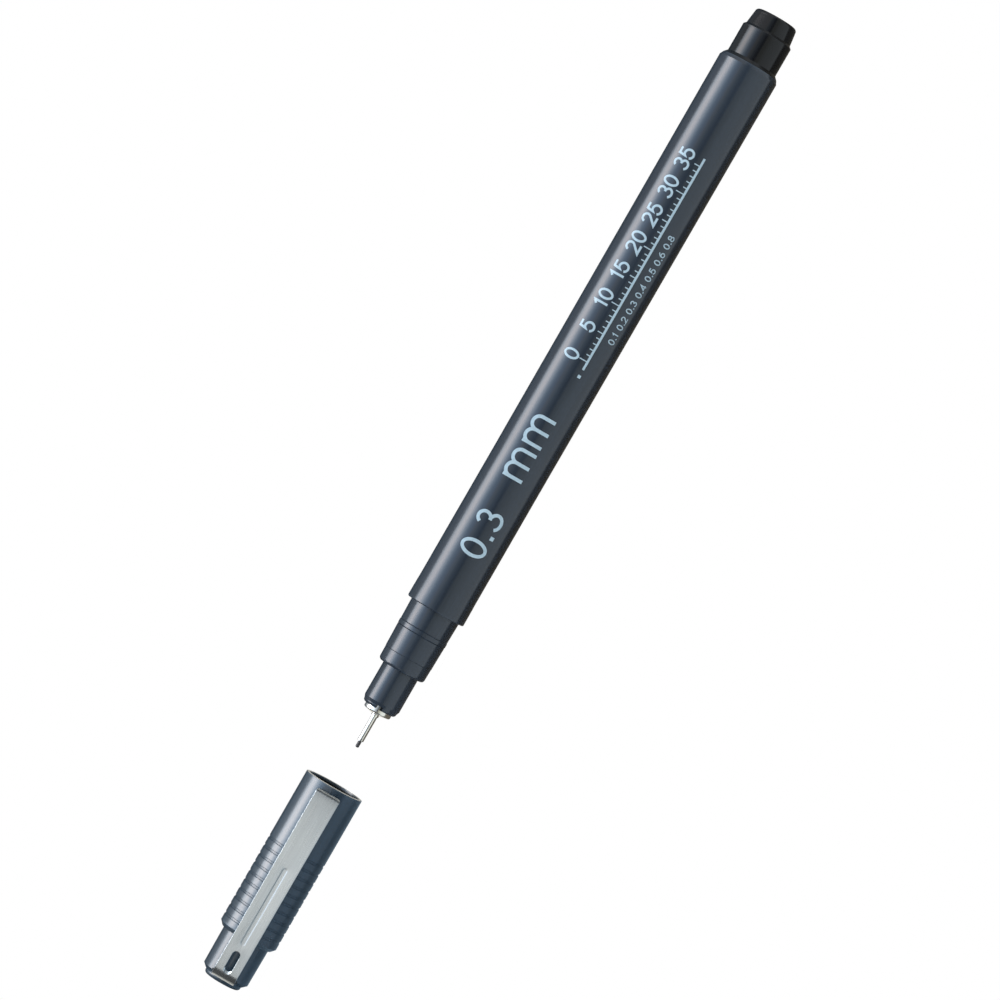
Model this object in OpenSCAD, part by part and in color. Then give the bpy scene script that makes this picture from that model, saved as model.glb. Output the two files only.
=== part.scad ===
// Fineliner pen with a posting cap, lying on its side with the cap pulled off its point.
// The pen's axis runs along X: the tail points to +X, the nib and then the cap lie towards -X.
// The clip faces the front, -Y. The pen lies on the plane z = 0, and the origin is there, under
// the middle of the whole layout.

/* [Barrel] */
// Length of the barrel, from its front rim to its rear face
barrel_len = 98.3; // [85:0.1:115]
// Diameter of the straight front stretch of the barrel, which the cap is flush with
barrel_d = 9.9; // [9.6:0.05:10.8]
// Wall of the barrel
barrel_wall = 0.95; // [0.85:0.05:1.15]
// Length of the straight front stretch
grip_len = 24; // [15:0.5:40]
// Growth of the barrel's radius from the straight stretch to the rear
barrel_swell = 0.12; // [0.02:0.01:0.25]
// Height of the slight flare at the front rim
rim_flare = 0.04; // [0.01:0.01:0.08]
// Length over which that flare dies out
rim_flare_len = 4; // [2:0.5:8]
// Rounding of the front rim
rim_round = 0.25; // [0.1:0.01:0.4]
// Length of the chamfer at the rear end
rear_chamfer_len = 0.6; // [0.3:0.05:0.9]
// Depth of the chamfer at the rear end
rear_chamfer_h = 0.3; // [0.15:0.01:0.45]
// Depth of the counterbore that seats the front section's collar
socket_len = 1.1; // [0.8:0.1:2]

/* [Front section] */
// Length of the neck that the cap slides over
neck_len = 10.84; // [9.5:0.02:12.5]
// Loss of radius along the neck
neck_taper = 0.225; // [0.1:0.005:0.3]
// Rounding of the neck's front corner
neck_round = 0.55; // [0.3:0.01:0.65]
// Distance of the mould line from the neck's front
mould_line_from_front = 2.36; // [1.5:0.02:3.5]
// Width of the mould line and of the lines beside the snap bead
line_w = 0.13; // [0.08:0.01:0.2]
// Depth of those lines
line_depth = 0.035; // [0.02:0.005:0.06]
// Height of the neck's band, which runs from the mould line to the snap bead
band_h = 0.03; // [0.01:0.005:0.04]
// Distance of the snap bead's middle from the barrel's rim
bead_from_rim = 4.02; // [3.4:0.02:4.6]
// Length of the snap bead
bead_len = 0.72; // [0.4:0.02:1]
// Height of the snap bead
bead_h = 0.035; // [0.02:0.005:0.05]
// Length of the nose
nose_len = 6.89; // [6:0.01:8]
// Height of the step from the neck's front corner down to the nose
nose_step = 0.93; // [0.8:0.01:1.2]
// Length of the nose's cone and rounded edge together
nose_taper_len = 1.05; // [0.8:0.05:1.5]
// Loss of radius over the nose's cone
nose_taper_h = 0.215; // [0.1:0.005:0.3]
// Rounding of the nose's front edge
nose_round = 0.5; // [0.2:0.01:0.55]
// Width of the vent notch in the nose's front edge
notch_w = 1.1; // [0.9:0.05:1.3]
// Length of the vent notch along the pen
notch_len = 0.6; // [0.4:0.05:0.9]
// Length of the part of the front section that sits in the barrel
insert_len = 12; // [8:0.5:18]
// Wall of the front section behind the nose
section_wall = 0.9; // [0.7:0.05:1.1]

/* [Point] */
// Height of the steel flange's rim above the ferrule's shank
flange_lip = 0.84; // [0.7:0.01:0.88]
// Thickness of the flange's rim
flange_t = 0.7; // [0.5:0.05:1]
// Rounding of the flange's front edge
flange_round = 0.26; // [0.15:0.01:0.35]
// Height of the shallow cone on the flange
cone_len = 0.34; // [0.2:0.02:0.6]
// Diameter of the small collar that grips the tube
collar_d = 1.26; // [1.22:0.02:1.5]
// Length of that collar
collar_len = 0.28; // [0.2:0.02:0.6]
// Wall of the ferrule's shank round the fibre rod
shank_wall = 0.43; // [0.3:0.01:0.5]
// Length of the ferrule's shank
shank_len = 3.4; // [2.8:0.1:4.5]
// Width of the key tab that the ferrule has in the vent notch
tab_w = 0.7; // [0.5:0.05:0.75]
// Height of the key tab
tab_h = 0.35; // [0.2:0.05:0.4]
// Diameter of the steel tube
tube_d = 1; // [0.9:0.02:1.1]
// Reach of the tube in front of the flange's rim
tube_reach = 5.08; // [4:0.02:6.5]
// Diameter of the nib
nib_d = 0.59; // [0.45:0.01:0.65]
// Reach of the nib in front of the tube
nib_reach = 1.17; // [0.8:0.01:1.4]
// Radius of the nib's writing end
nib_round = 0.22; // [0.1:0.01:0.22]

/* [Ink] */
// Diameter of the fibre rod behind the nib
relay_d = 2; // [1.8:0.05:2.2]
// Depth to which the rod goes into the reservoir
relay_grip = 4; // [2.5:0.1:8]
// Depth to which the nib goes into the rod
nib_grip = 2.4; // [1.5:0.1:4]
// Air gap between the reservoir and the barrel
air_gap = 0.2; // [0.1:0.01:0.3]
// Thickness of the film round the reservoir
film_t = 0.12; // [0.08:0.01:0.2]

/* [Tail plug] */
// Length of the plug inside the barrel
plug_insert_len = 6.5; // [4:0.1:10]
// Wall of the plug
plug_wall = 0.95; // [0.8:0.05:1.1]
// Length of the plug's conical flange
plug_flange_len = 0.55; // [0.4:0.01:0.8]
// Length of the ring that the cap posts on
post_len = 4.8; // [4:0.05:7]
// Radial play of the cap on that ring
post_clearance = 0.07; // [0.03:0.01:0.09]
// Length of the step from the ring to the tapered end
end_step_len = 0.36; // [0.2:0.02:0.6]
// Height of that step
end_step_h = 0.36; // [0.2:0.01:0.5]
// Length of the tapered end
end_len = 2.8; // [2:0.05:5]
// Loss of radius along the tapered end
end_taper = 0.28; // [0.15:0.01:0.5]
// Rounding of the tail's edge
end_round = 0.6; // [0.2:0.01:0.7]

/* [Cap] */
// Wall of the cap along its bore
cap_wall = 0.62; // [0.58:0.01:0.75]
// Radial play of the cap on the neck's base
cap_clearance = 0.09; // [0.05:0.01:0.1]
// Thickness of the shoulder between the liner and the end of the cap's wide body
shoulder_t = 1.37; // [1.2:0.01:4]
// Length of the chamfer at the end of the wide body
body_chamfer_len = 0.66; // [0.5:0.02:1]
// Depth of that chamfer
body_chamfer_h = 0.6; // [0.4:0.01:0.8]
// Height of the shoulder from the wide body down to the narrow end
shoulder_h = 0.97; // [0.85:0.01:1.15]
// Length of the narrow end
cap_end_len = 7.07; // [6.5:0.01:9]
// Loss of radius along the narrow end
cap_end_taper = 0.06; // [0.02:0.01:0.1]
// Length of the chamfer at the closed end
end_chamfer_len = 0.6; // [0.4:0.02:0.8]
// Depth of the chamfer at the closed end
end_chamfer_h = 0.64; // [0.4:0.01:0.7]
// Wall round the narrow end's chamber
cap_end_wall = 0.8; // [0.7:0.05:0.9]
// Thickness of the shell's end wall
end_wall_t = 1.85; // [1.75:0.05:2.4]
// Rounding of the cap's mouth
mouth_round = 0.1; // [0.05:0.01:0.15]
// Depth of the lead-in at the cap's mouth
lead_in_h = 0.12; // [0.05:0.01:0.2]
// Length of the lead-in
lead_in_len = 0.5; // [0.2:0.05:1]
// Distance of the last groove from the wide body's chamfer
groove_from_chamfer = 1.29; // [0.6:0.01:3]
// Number of grooves
groove_count = 10; // [6:1:10]
// Distance from groove to groove
groove_pitch = 1.53; // [1.2:0.01:1.55]
// Width of a groove
groove_w = 0.46; // [0.3:0.02:0.6]
// Depth of a groove
groove_depth = 0.09; // [0.05:0.01:0.15]
// Length of the slope at each side of a groove
groove_slope = 0.08; // [0.04:0.01:0.12]
// Length of the snap ring inside the cap
snap_ring_len = 0.5; // [0.3:0.05:0.6]
// Radial play of the snap ring over the snap bead
snap_clearance = 0.02; // [0.01:0.005:0.03]

/* [Cap liner] */
// Gap between the closed cap's liner and the neck's front
liner_gap = 0.46; // [0.3:0.02:0.8]
// Radial play of the liner on the nose
seal_clearance = 0.04; // [0.02:0.01:0.08]
// Wall of the liner round its chamber
liner_wall = 0.75; // [0.6:0.05:0.9]
// Length of each of the liner's two guide rings
liner_ring_len = 1.3; // [0.8:0.1:2]
// Room between the closed cap's liner and the nib's end
nib_room = 0.5; // [0.3:0.05:0.8]
// Thickness of the liner's end wall
liner_end_t = 1.1; // [0.8:0.05:1.2]

/* [Crown] */
// Thickness of the crown's disc
crown_t = 0.75; // [0.6:0.05:1.2]
// Distance of the crown's edge from the narrow end's side
crown_inset = 0.84; // [0.7:0.01:1]
// Rounding of the disc's edge
crown_round = 0.5; // [0.2:0.02:0.55]
// Overhang of the crown's disc past the stud that holds it in the shell
crown_lip = 0.99; // [0.85:0.01:1.1]
// Height of the barb at the stud's end
barb_h = 0.12; // [0.06:0.01:0.2]
// Length of the barb
barb_len = 0.7; // [0.4:0.05:1]

/* [Clip] */
// Thickness of the clip's strip
clip_t = 0.3; // [0.25:0.01:0.4]
// Height of the strip's top above the cap
clip_rise = 1.35; // [1.2:0.01:1.8]
// Width of the strip at its root
clip_root_w = 3.98; // [3.6:0.02:4.2]
// Width of the strip at its free end
clip_tip_w = 4.14; // [3.6:0.02:4.4]
// Distance of the free end from the cap's mouth
clip_from_mouth = 1.1; // [0.6:0.05:3]
// Outer radius of the bends at both ends
clip_bend = 1; // [0.6:0.05:1.1]
// Rounding of the strip's corners at the free end
clip_corner = 0.3; // [0.1:0.02:0.5]
// Gap between the free end and the cap
tip_gap = 0.06; // [0.04:0.01:0.15]
// Play of the strip's leg and foot in the shell
leg_play = 0.12; // [0.08:0.01:0.15]
// Distance of the leg's outer face from the shell's end
leg_recess = 0.12; // [0.12:0.02:0.3]
// Room in the slot in front of the leg, for the bend
slot_room = 0.4; // [0.2:0.02:0.45]
// Length of the foot under the shell's end wall
foot_len = 0.8; // [0.7:0.05:1]
// Length of the oblong hole
hole_len = 3.9; // [3:0.05:4.5]
// Distance of the hole from the strip's root end
hole_from_root = 1.27; // [1.15:0.01:2]
// Width of the oblong hole
hole_w = 1.33; // [1:0.01:1.6]
// Length of the pressed channel
channel_len = 13.8; // [10:0.1:16]
// Width of the pressed channel
channel_w = 0.8; // [0.6:0.02:1]
// Depth of the pressed channel
channel_depth = 0.12; // [0.06:0.01:0.15]
// Distance of the channel from the hole
channel_from_hole = 1.15; // [0.8:0.05:2]

/* [Layout] */
// Distance of the cap's mouth from the nib, as laid out
cap_off = 6.89; // [3:0.01:30]

/* [Hidden] */
$fn = 96;
// Steps of a rounded edge in an outline
round_steps = 8;
// Radial play of a pressed or glued fit, and the gap between faces that seat
fit = 0.02;
// Overrun of a cutting tool past the material
overrun = 0.5;

// Radii of the barrel and what it holds
barrel_r = barrel_d / 2;
bore_r = barrel_r - barrel_wall;
rear_r = barrel_r + barrel_swell;
cap_r = barrel_r;
cap_bore_r = cap_r - cap_wall;
neck_r = cap_bore_r - cap_clearance;
neck_front_r = neck_r - neck_taper;
socket_r = neck_r + fit;
insert_r = bore_r - fit;
film_r = bore_r - air_gap;
core_r = film_r - film_t - fit;
relay_r = relay_d / 2;

// Radii of the nose and the point
nose_r = neck_front_r - nose_step;
nose_tip_r = nose_r - nose_taper_h;
shank_r = relay_r + fit + shank_wall;
flange_r = shank_r + flange_lip;
collar_r = collar_d / 2;
tube_r = tube_d / 2;
nib_r = nib_d / 2;

// Places along the pen, from the barrel's front rim
neck_front_x = -neck_len;
nose_front_x = neck_front_x - nose_len;
flange_front_x = nose_front_x - flange_t;
tube_front_x = flange_front_x - tube_reach;
nib_front_x = tube_front_x - nib_reach;
shank_rear_x = nose_front_x + shank_len;
// The tube and the fibre rod meet a flange's thickness behind the nose's front
relay_front_x = nose_front_x + flange_t;
nib_rear_x = relay_front_x + nib_grip;
core_front_x = insert_len + fit;
core_rear_x = barrel_len - plug_insert_len - fit;
relay_rear_x = core_front_x + relay_grip;
flare_flat_x = rim_flare_len / 5;

// Radii and places of the tail plug
post_r = cap_bore_r - post_clearance;
plug_flange_r = rear_r - rear_chamfer_h - fit;
end_r = post_r - end_step_h;
tail_r = end_r - end_taper;
post_front_x = barrel_len + plug_flange_len;
post_rear_x = post_front_x + post_len;
end_front_x = post_rear_x + end_step_len;
tail_x = end_front_x + end_len;

// Radii and places of the cap, from its mouth towards its closed end
cap_end_r = cap_r - shoulder_h;
cap_tail_r = cap_end_r - cap_end_taper;
chamber_r = cap_end_r - cap_end_wall;
crown_r = cap_end_r - crown_inset;
stud_r = crown_r - crown_lip;
liner_guide_r = cap_bore_r - fit;
liner_chamber_r = flange_r + liner_gap;
liner_front_v = neck_len + liner_gap;
liner_seal_end_v = neck_len + nose_len + liner_gap;
liner_chamber_end_v = -nib_front_x + nib_room;
liner_end_v = liner_chamber_end_v + liner_end_t;
cap_body_len = liner_end_v + shoulder_t;
body_chamfer_v = cap_body_len - body_chamfer_len;
first_groove_v = body_chamfer_v - groove_from_chamfer - (groove_count - 1) * groove_pitch;
shell_len = cap_body_len + cap_end_len;
end_wall_v = shell_len - end_wall_t;
crown_v = shell_len + fit;
cap_len = crown_v + crown_t;
snap_ring_r = band_r_at(-bead_from_rim) + bead_h + snap_clearance;
snap_ring_v = bead_from_rim - bead_len / 2 - line_w - snap_ring_len / 2;

// Heights and places of the clip in the cap's own frame
strip_top = cap_r + clip_rise;
strip_bottom = strip_top - clip_t;
leg_outer_v = shell_len - leg_recess;
foot_bottom = stud_r + fit + leg_play + clip_t;
hole_end_v = leg_outer_v - hole_from_root;
channel_end_v = hole_end_v - hole_len - channel_from_hole;

// Layout: the cap's mouth, the middle of everything along X, and the axis behind the middle
// from front to back and above the surface
mouth_x = nib_front_x - cap_off;
middle_x = (tail_x + mouth_x - cap_len) / 2;
axis_y = (strip_top - rear_r) / 2;
axis_h = rear_r;

// Radius of the tapered neck at a place along the pen
function neck_r_at(x) =
    neck_r + (neck_r - neck_front_r) * x / (neck_len - neck_round);

// Points of an arc about a middle, from one angle to another
function arc(middle, r, from, to) = [
    for (i = [0:round_steps])
        let (a = from + (to - from) * i / round_steps)
            middle + r * [cos(a), sin(a)]
];

// Radius of the neck's band at a place along the pen
function band_r_at(x) = neck_r_at(x) + band_h;

// Points of a shallow line cut round the neck, with the rise of the neck before and after it
function neck_line(x, before, after) = [
    [neck_r_at(x - line_w / 2) + before, x - line_w / 2],
    [neck_r_at(x) - line_depth, x],
    [neck_r_at(x + line_w / 2) + after, x + line_w / 2]
];

// Turns an outline of [radius, place] points about the pen's axis
module turned(outline) {
    along_pen() rotate_extrude() polygon(outline);
}

// Puts a shape whose Z is the pen's length in its place. Its -X side faces the front.
module along_pen() {
    translate([-middle_x, axis_y, axis_h]) rotate([90, 0, 0]) rotate([0, 90, 0]) children();
}

// Puts a shape whose Z is the cap's length, from its mouth, in its place. Its X side faces
// the front.
module along_cap() {
    translate([mouth_x - middle_x, axis_y, axis_h]) rotate([90, 0, 0]) rotate([0, -90, 0])
        children();
}

// Turns an outline of [radius, place] points about the cap's axis
module turned_cap(outline) {
    along_cap() rotate_extrude() polygon(outline);
}

// A long slot's outline with round ends, along Y from one place to another
module slot_2d(w, from, to) {
    translate([0, from + w / 2]) circle(d = w);
    translate([0, to - w / 2]) circle(d = w);
    translate([-w / 2, from + w / 2]) square([w, to - from - w]);
}

module barrel() {
    color([0.22, 0.26, 0.3])
    turned(concat(
        [[socket_r, 0]],
        arc([barrel_r + rim_flare - rim_round, rim_round], rim_round, -90, 0),
        [
            [barrel_r + rim_flare, max(flare_flat_x, rim_round + fit)],
            [barrel_r, rim_flare_len],
            [barrel_r, rim_flare_len + grip_len],
            [rear_r, barrel_len - rear_chamfer_len],
            [rear_r - rear_chamfer_h, barrel_len],
            [bore_r, barrel_len],
            [bore_r, socket_len],
            [socket_r, socket_len]
        ]
    ));
}

// Neck and nose in one moulding. The neck's snap bead lies between two fine lines.
module front_section() {
    cavity_r = insert_r - section_wall;
    cavity_front_x = neck_front_x + section_wall;
    bead_front_x = -bead_from_rim - bead_len / 2;
    bead_rear_x = -bead_from_rim + bead_len / 2;
    notch_floor_r = flange_r - tab_h - fit;
    color([0.22, 0.26, 0.3])
    difference() {
        turned(concat(
            [[shank_r + fit, nose_front_x]],
            arc([nose_tip_r - nose_round, nose_front_x + nose_round], nose_round, -90, 0),
            [
                [nose_r, nose_front_x + nose_taper_len],
                [nose_r, neck_front_x]
            ],
            arc([neck_front_r - neck_round, neck_front_x + neck_round], neck_round, -90, 0),
            neck_line(neck_front_x + mould_line_from_front, 0, band_h),
            neck_line(bead_front_x - line_w / 2, band_h, band_h),
            [
                [band_r_at(bead_front_x + bead_h) + bead_h, bead_front_x + bead_h],
                [band_r_at(bead_rear_x - bead_h) + bead_h, bead_rear_x - bead_h]
            ],
            neck_line(bead_rear_x + line_w / 2, band_h, 0),
            [
                [neck_r, 0],
                [neck_r, socket_len - fit],
                [insert_r, socket_len - fit],
                [insert_r, insert_len],
                [cavity_r, insert_len],
                [cavity_r, cavity_front_x],
                [relay_r + fit, cavity_front_x],
                [relay_r + fit, shank_rear_x + fit],
                [shank_r + fit, shank_rear_x + fit]
            ]
        ));
        along_pen()
        translate([-nose_r - overrun, -notch_w / 2, nose_front_x - overrun])
            cube([nose_r + overrun - notch_floor_r, notch_w, notch_len + overrun]);
    }
}

// Turned steel holder of the point, keyed in the vent notch
module tip_ferrule() {
    cone_front_x = flange_front_x - cone_len;
    tab_front_x = nose_front_x - flange_t / 2;
    tab_len = flange_t / 2 + notch_len - fit;
    color([0.86, 0.85, 0.82])
    union() {
        turned(concat(
            [
                [tube_r + fit, cone_front_x - collar_len],
                [collar_r, cone_front_x - collar_len],
                [collar_r, cone_front_x]
            ],
            arc([flange_r - flange_round, flange_front_x + flange_round], flange_round, -90, 0),
            [
                [flange_r, nose_front_x - fit],
                [shank_r, nose_front_x - fit],
                [shank_r, shank_rear_x],
                [relay_r + fit, shank_rear_x],
                [relay_r + fit, relay_front_x - fit],
                [tube_r + fit, relay_front_x - fit]
            ]
        ));
        along_pen()
        intersection() {
            translate([0, 0, tab_front_x]) cylinder(r = flange_r, h = tab_len);
            translate([-flange_r, notch_w / 2 - fit - tab_w, tab_front_x])
                cube([tab_h, tab_w, tab_len]);
        }
    }
}

module tip_tube() {
    color([0.86, 0.85, 0.82])
    turned([
        [nib_r + fit, tube_front_x],
        [tube_r - fit, tube_front_x],
        [tube_r, tube_front_x + fit],
        [tube_r, relay_front_x - 2 * fit],
        [nib_r + fit, relay_front_x - 2 * fit]
    ]);
}

module nib() {
    color([0.27, 0.27, 0.29])
    turned(concat(
        [[0, nib_front_x]],
        arc([nib_r - nib_round, nib_front_x + nib_round], nib_round, -90, 0),
        [
            [nib_r, nib_rear_x],
            [0, nib_rear_x]
        ]
    ));
}

// Fibre rod between the nib and the reservoir
module relay_wick() {
    color([0.2, 0.2, 0.22])
    turned([
        [nib_r + fit, relay_front_x],
        [relay_r, relay_front_x],
        [relay_r, relay_rear_x],
        [0, relay_rear_x],
        [0, nib_rear_x + fit],
        [nib_r + fit, nib_rear_x + fit]
    ]);
}

module ink_reservoir() {
    color([0.16, 0.16, 0.18])
    turned([
        [relay_r + fit, core_front_x],
        [core_r, core_front_x],
        [core_r, core_rear_x],
        [0, core_rear_x],
        [0, relay_rear_x + fit],
        [relay_r + fit, relay_rear_x + fit]
    ]);
}

module reservoir_film() {
    color([0.85, 0.87, 0.88])
    turned([
        [core_r + fit, core_front_x],
        [film_r, core_front_x],
        [film_r, core_rear_x],
        [core_r + fit, core_rear_x]
    ]);
}

// Plug with a conical flange, a ring that the cap posts on and a tapered end, hollow from inside
module tail_plug() {
    color([0.1, 0.1, 0.11])
    turned(concat(
        [
            [insert_r - plug_wall, barrel_len - plug_insert_len],
            [insert_r, barrel_len - plug_insert_len],
            [insert_r, barrel_len + fit],
            [plug_flange_r, barrel_len + fit],
            [post_r, post_front_x],
            [post_r, post_rear_x],
            [post_r - fit, post_rear_x + fit],
            [end_r, end_front_x]
        ],
        arc([tail_r - end_round, tail_x - end_round], end_round, 0, 90),
        [
            [0, tail_x],
            [0, tail_x - plug_wall],
            [tail_r - plug_wall, tail_x - plug_wall],
            [end_r - plug_wall, end_front_x],
            [insert_r - plug_wall, post_rear_x - plug_wall]
        ]
    ));
}

// Outline points of one groove of the cap
function groove(v) = [
    [cap_r, v - groove_w / 2],
    [cap_r - groove_depth, v - groove_w / 2 + groove_slope],
    [cap_r - groove_depth, v + groove_w / 2 - groove_slope],
    [cap_r, v + groove_w / 2]
];

// Cap with its grooves, its narrow end, and the slot that the clip's leg goes down in
module cap_shell() {
    snap_front_v = snap_ring_v - snap_ring_len / 2;
    snap_rear_v = snap_ring_v + snap_ring_len / 2;
    snap_h = cap_bore_r - snap_ring_r;
    slot_w = clip_root_w + 4 * leg_play;
    slot_v = leg_outer_v - clip_t - slot_room;
    foot_v = leg_outer_v - clip_t - foot_len - leg_play;
    color([0.35, 0.44, 0.5])
    difference() {
        turned_cap(concat(
            [[cap_bore_r + lead_in_h, 0]],
            arc([cap_r - mouth_round, mouth_round], mouth_round, -90, 0),
            [for (i = [0:groove_count - 1]) each groove(first_groove_v + i * groove_pitch)],
            [
                [cap_r, body_chamfer_v],
                [cap_r - body_chamfer_h, cap_body_len],
                [cap_end_r, cap_body_len],
                [cap_tail_r, shell_len - end_chamfer_len],
                [cap_tail_r - end_chamfer_h, shell_len],
                [stud_r + fit, shell_len],
                [stud_r + fit, end_wall_v],
                [chamber_r, end_wall_v],
                [chamber_r, liner_end_v],
                [cap_bore_r, liner_end_v],
                [cap_bore_r, snap_rear_v + snap_h],
                [snap_ring_r, snap_rear_v],
                [snap_ring_r, snap_front_v],
                [cap_bore_r, snap_front_v - snap_h],
                [cap_bore_r, lead_in_len]
            ]
        ));
        // Slot for the leg, from the end face
        along_cap()
        translate([foot_bottom - leg_play, -slot_w / 2, slot_v])
            cube([cap_r, slot_w, shell_len - slot_v + overrun]);
        // Pocket for the foot, under the end wall's edge
        along_cap()
        translate([foot_bottom - leg_play, -slot_w / 2, foot_v])
            cube([clip_t + 2 * leg_play, slot_w, slot_v - foot_v + fit]);
    }
}

// Inner cup that seals round the nose
module cap_liner() {
    liner_r = liner_chamber_r + liner_wall;
    lip_r = nose_r + seal_clearance;
    color([0.2, 0.22, 0.25])
    turned_cap([
        [lip_r + lead_in_h, liner_front_v],
        [liner_guide_r, liner_front_v],
        [liner_guide_r, liner_front_v + liner_ring_len],
        [lip_r + liner_wall, liner_front_v + liner_ring_len + liner_wall],
        [lip_r + liner_wall, liner_seal_end_v],
        [liner_r, liner_seal_end_v + liner_wall],
        [liner_r, liner_end_v - liner_ring_len],
        [liner_guide_r, liner_end_v - liner_ring_len],
        [liner_guide_r, liner_end_v - fit],
        [0, liner_end_v - fit],
        [0, liner_chamber_end_v],
        [liner_chamber_r, liner_chamber_end_v],
        [liner_chamber_r, liner_seal_end_v + liner_gap],
        [lip_r, liner_seal_end_v],
        [lip_r, liner_front_v + lead_in_len]
    ]);
}

// Domed disc with a barbed stud, which closes the shell's end over the clip's leg
module cap_crown() {
    barb_v = end_wall_v - fit;
    color([0.2, 0.24, 0.28])
    turned_cap(concat(
        [
            [0, barb_v - barb_len],
            [stud_r - barb_h, barb_v - barb_len],
            [stud_r + barb_h, barb_v - fit],
            [stud_r, barb_v],
            [stud_r, crown_v],
            [crown_r, crown_v]
        ],
        arc([crown_r - crown_round, cap_len - crown_round], crown_round, 0, 90),
        [[0, cap_len]]
    ));
}

// Side of the clip: a strip with a leg and foot at its root and a short leg at its free end.
// X is the height above the cap's axis and Y the place from the mouth.
module clip_side() {
    tip_v = clip_from_mouth;
    inner_bend = clip_bend - clip_t;
    difference() {
        union() {
            translate([0, tip_v + clip_bend])
                square([strip_top, leg_outer_v - tip_v - 2 * clip_bend]);
            translate([0, tip_v]) square([strip_top - clip_bend, leg_outer_v - tip_v]);
            for (v = [tip_v + clip_bend, leg_outer_v - clip_bend])
                translate([strip_top - clip_bend, v]) circle(r = clip_bend);
        }
        translate([-overrun, tip_v + clip_bend])
            square([strip_bottom + overrun, leg_outer_v - tip_v - 2 * clip_bend]);
        translate([-overrun, tip_v + clip_t])
            square([strip_bottom - inner_bend + overrun, leg_outer_v - tip_v - 2 * clip_t]);
        for (v = [tip_v + clip_bend, leg_outer_v - clip_bend])
            translate([strip_bottom - inner_bend, v]) circle(r = inner_bend);
        // The free end stops just above the cap, and the leg at the bottom of the foot
        translate([-overrun, tip_v - overrun])
            square([cap_r + tip_gap + overrun, clip_t + 2 * overrun]);
        translate([-overrun, leg_outer_v - clip_t - overrun])
            square([foot_bottom + overrun, clip_t + 2 * overrun]);
    }
    translate([foot_bottom, leg_outer_v - clip_t - foot_len])
        square([clip_t, foot_len + clip_t / 2]);
}

// Face of the clip, a little wider at the free end, whose corners are round
module clip_plan() {
    tip_side = clip_tip_w / 2 - clip_corner;
    root_side = clip_root_w / 2;
    corner_v = clip_from_mouth + clip_corner;
    polygon([
        [-clip_tip_w / 2, corner_v],
        [clip_tip_w / 2, corner_v],
        [root_side, leg_outer_v + overrun],
        [-root_side, leg_outer_v + overrun]
    ]);
    translate([-tip_side, clip_from_mouth]) square([2 * tip_side, 2 * clip_corner]);
    for (side = [-1, 1])
        translate([side * tip_side, corner_v]) circle(r = clip_corner);
}

module clip() {
    color([0.72, 0.74, 0.75])
    along_cap()
    difference() {
        union() {
            intersection() {
                rotate([90, 0, 0]) linear_extrude(height = 2 * cap_r, center = true) clip_side();
                // The face is cut with its width along Y and its length along Z
                rotate([90, 0, 90]) linear_extrude(height = strip_top + overrun) clip_plan();
            }
            // Back of the pressed channel
            translate([strip_bottom - channel_depth, 0, 0])
            rotate([90, 0, 90])
                linear_extrude(height = channel_depth + clip_t / 2)
                    slot_2d(channel_w + clip_t, channel_end_v - channel_len, channel_end_v);
        }
        translate([strip_top - channel_depth, 0, 0])
        rotate([90, 0, 90])
            linear_extrude(height = channel_depth + overrun)
                slot_2d(channel_w, channel_end_v - channel_len, channel_end_v);
        translate([strip_bottom - overrun, 0, 0])
        rotate([90, 0, 90])
            linear_extrude(height = clip_t + 2 * overrun)
                slot_2d(hole_w, hole_end_v - hole_len, hole_end_v);
    }
}

barrel();
front_section();
tip_ferrule();
tip_tube();
nib();
relay_wick();
ink_reservoir();
reservoir_film();
tail_plug();
cap_shell();
cap_liner();
cap_crown();
clip();
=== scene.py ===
"""Finishes, print and studio for a fineliner pen that lies with its cap pulled off.

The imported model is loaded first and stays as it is. Sizes are in metres, in the model's own frame:
X along the pen towards its tail, -Y towards the face of the clip, Z up, the floor at zero.
"""

import math

import bmesh
import bpy
from mathutils import Matrix, Vector
from mathutils.geometry import delaunay_2d_cdt


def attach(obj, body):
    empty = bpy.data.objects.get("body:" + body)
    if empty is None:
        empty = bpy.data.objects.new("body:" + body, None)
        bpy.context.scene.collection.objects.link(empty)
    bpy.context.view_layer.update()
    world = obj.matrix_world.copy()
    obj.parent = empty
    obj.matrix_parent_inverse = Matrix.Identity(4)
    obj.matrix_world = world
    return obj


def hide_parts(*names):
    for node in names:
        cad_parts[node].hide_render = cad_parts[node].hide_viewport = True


bl_info = {
    "name": "Fineliner pen",
    "version": (1, 0, 0),
    "blender": (4, 5, 0),
    "location": "View3D > Sidebar > Fineliner",
    "description": "Finishes, print and studio for a fineliner pen with its cap off",
    "category": "Object",
}

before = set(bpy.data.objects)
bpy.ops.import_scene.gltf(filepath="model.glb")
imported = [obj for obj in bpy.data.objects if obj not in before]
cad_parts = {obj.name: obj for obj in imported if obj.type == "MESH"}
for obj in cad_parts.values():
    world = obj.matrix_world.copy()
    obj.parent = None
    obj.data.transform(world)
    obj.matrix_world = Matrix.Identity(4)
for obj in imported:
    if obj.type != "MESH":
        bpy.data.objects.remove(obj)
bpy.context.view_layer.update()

MM = 0.001

# Where the pen lies
AXIS_Y = 0.615 * MM
AXIS_Z = 5.07 * MM
RIM_X = -19.875 * MM
NECK_FRONT_X = RIM_X - 10.84 * MM
TAIL_X = RIM_X + 98.3 * MM
POST_END_X = TAIL_X + 5.35 * MM
END_X = RIM_X + 106.81 * MM
MOUTH_X = -51.445 * MM
SHOULDER_X = MOUTH_X - 26.99 * MM
CROWN_X = MOUTH_X - 34.72 * MM

# The barrel is straight for the grip, and grows towards the tail
GRIP_R = 4.95 * MM
REAR_R = 5.07 * MM
GRIP_END_X = RIM_X + 28 * MM
REAR_X = RIM_X + 97.7 * MM


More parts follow.
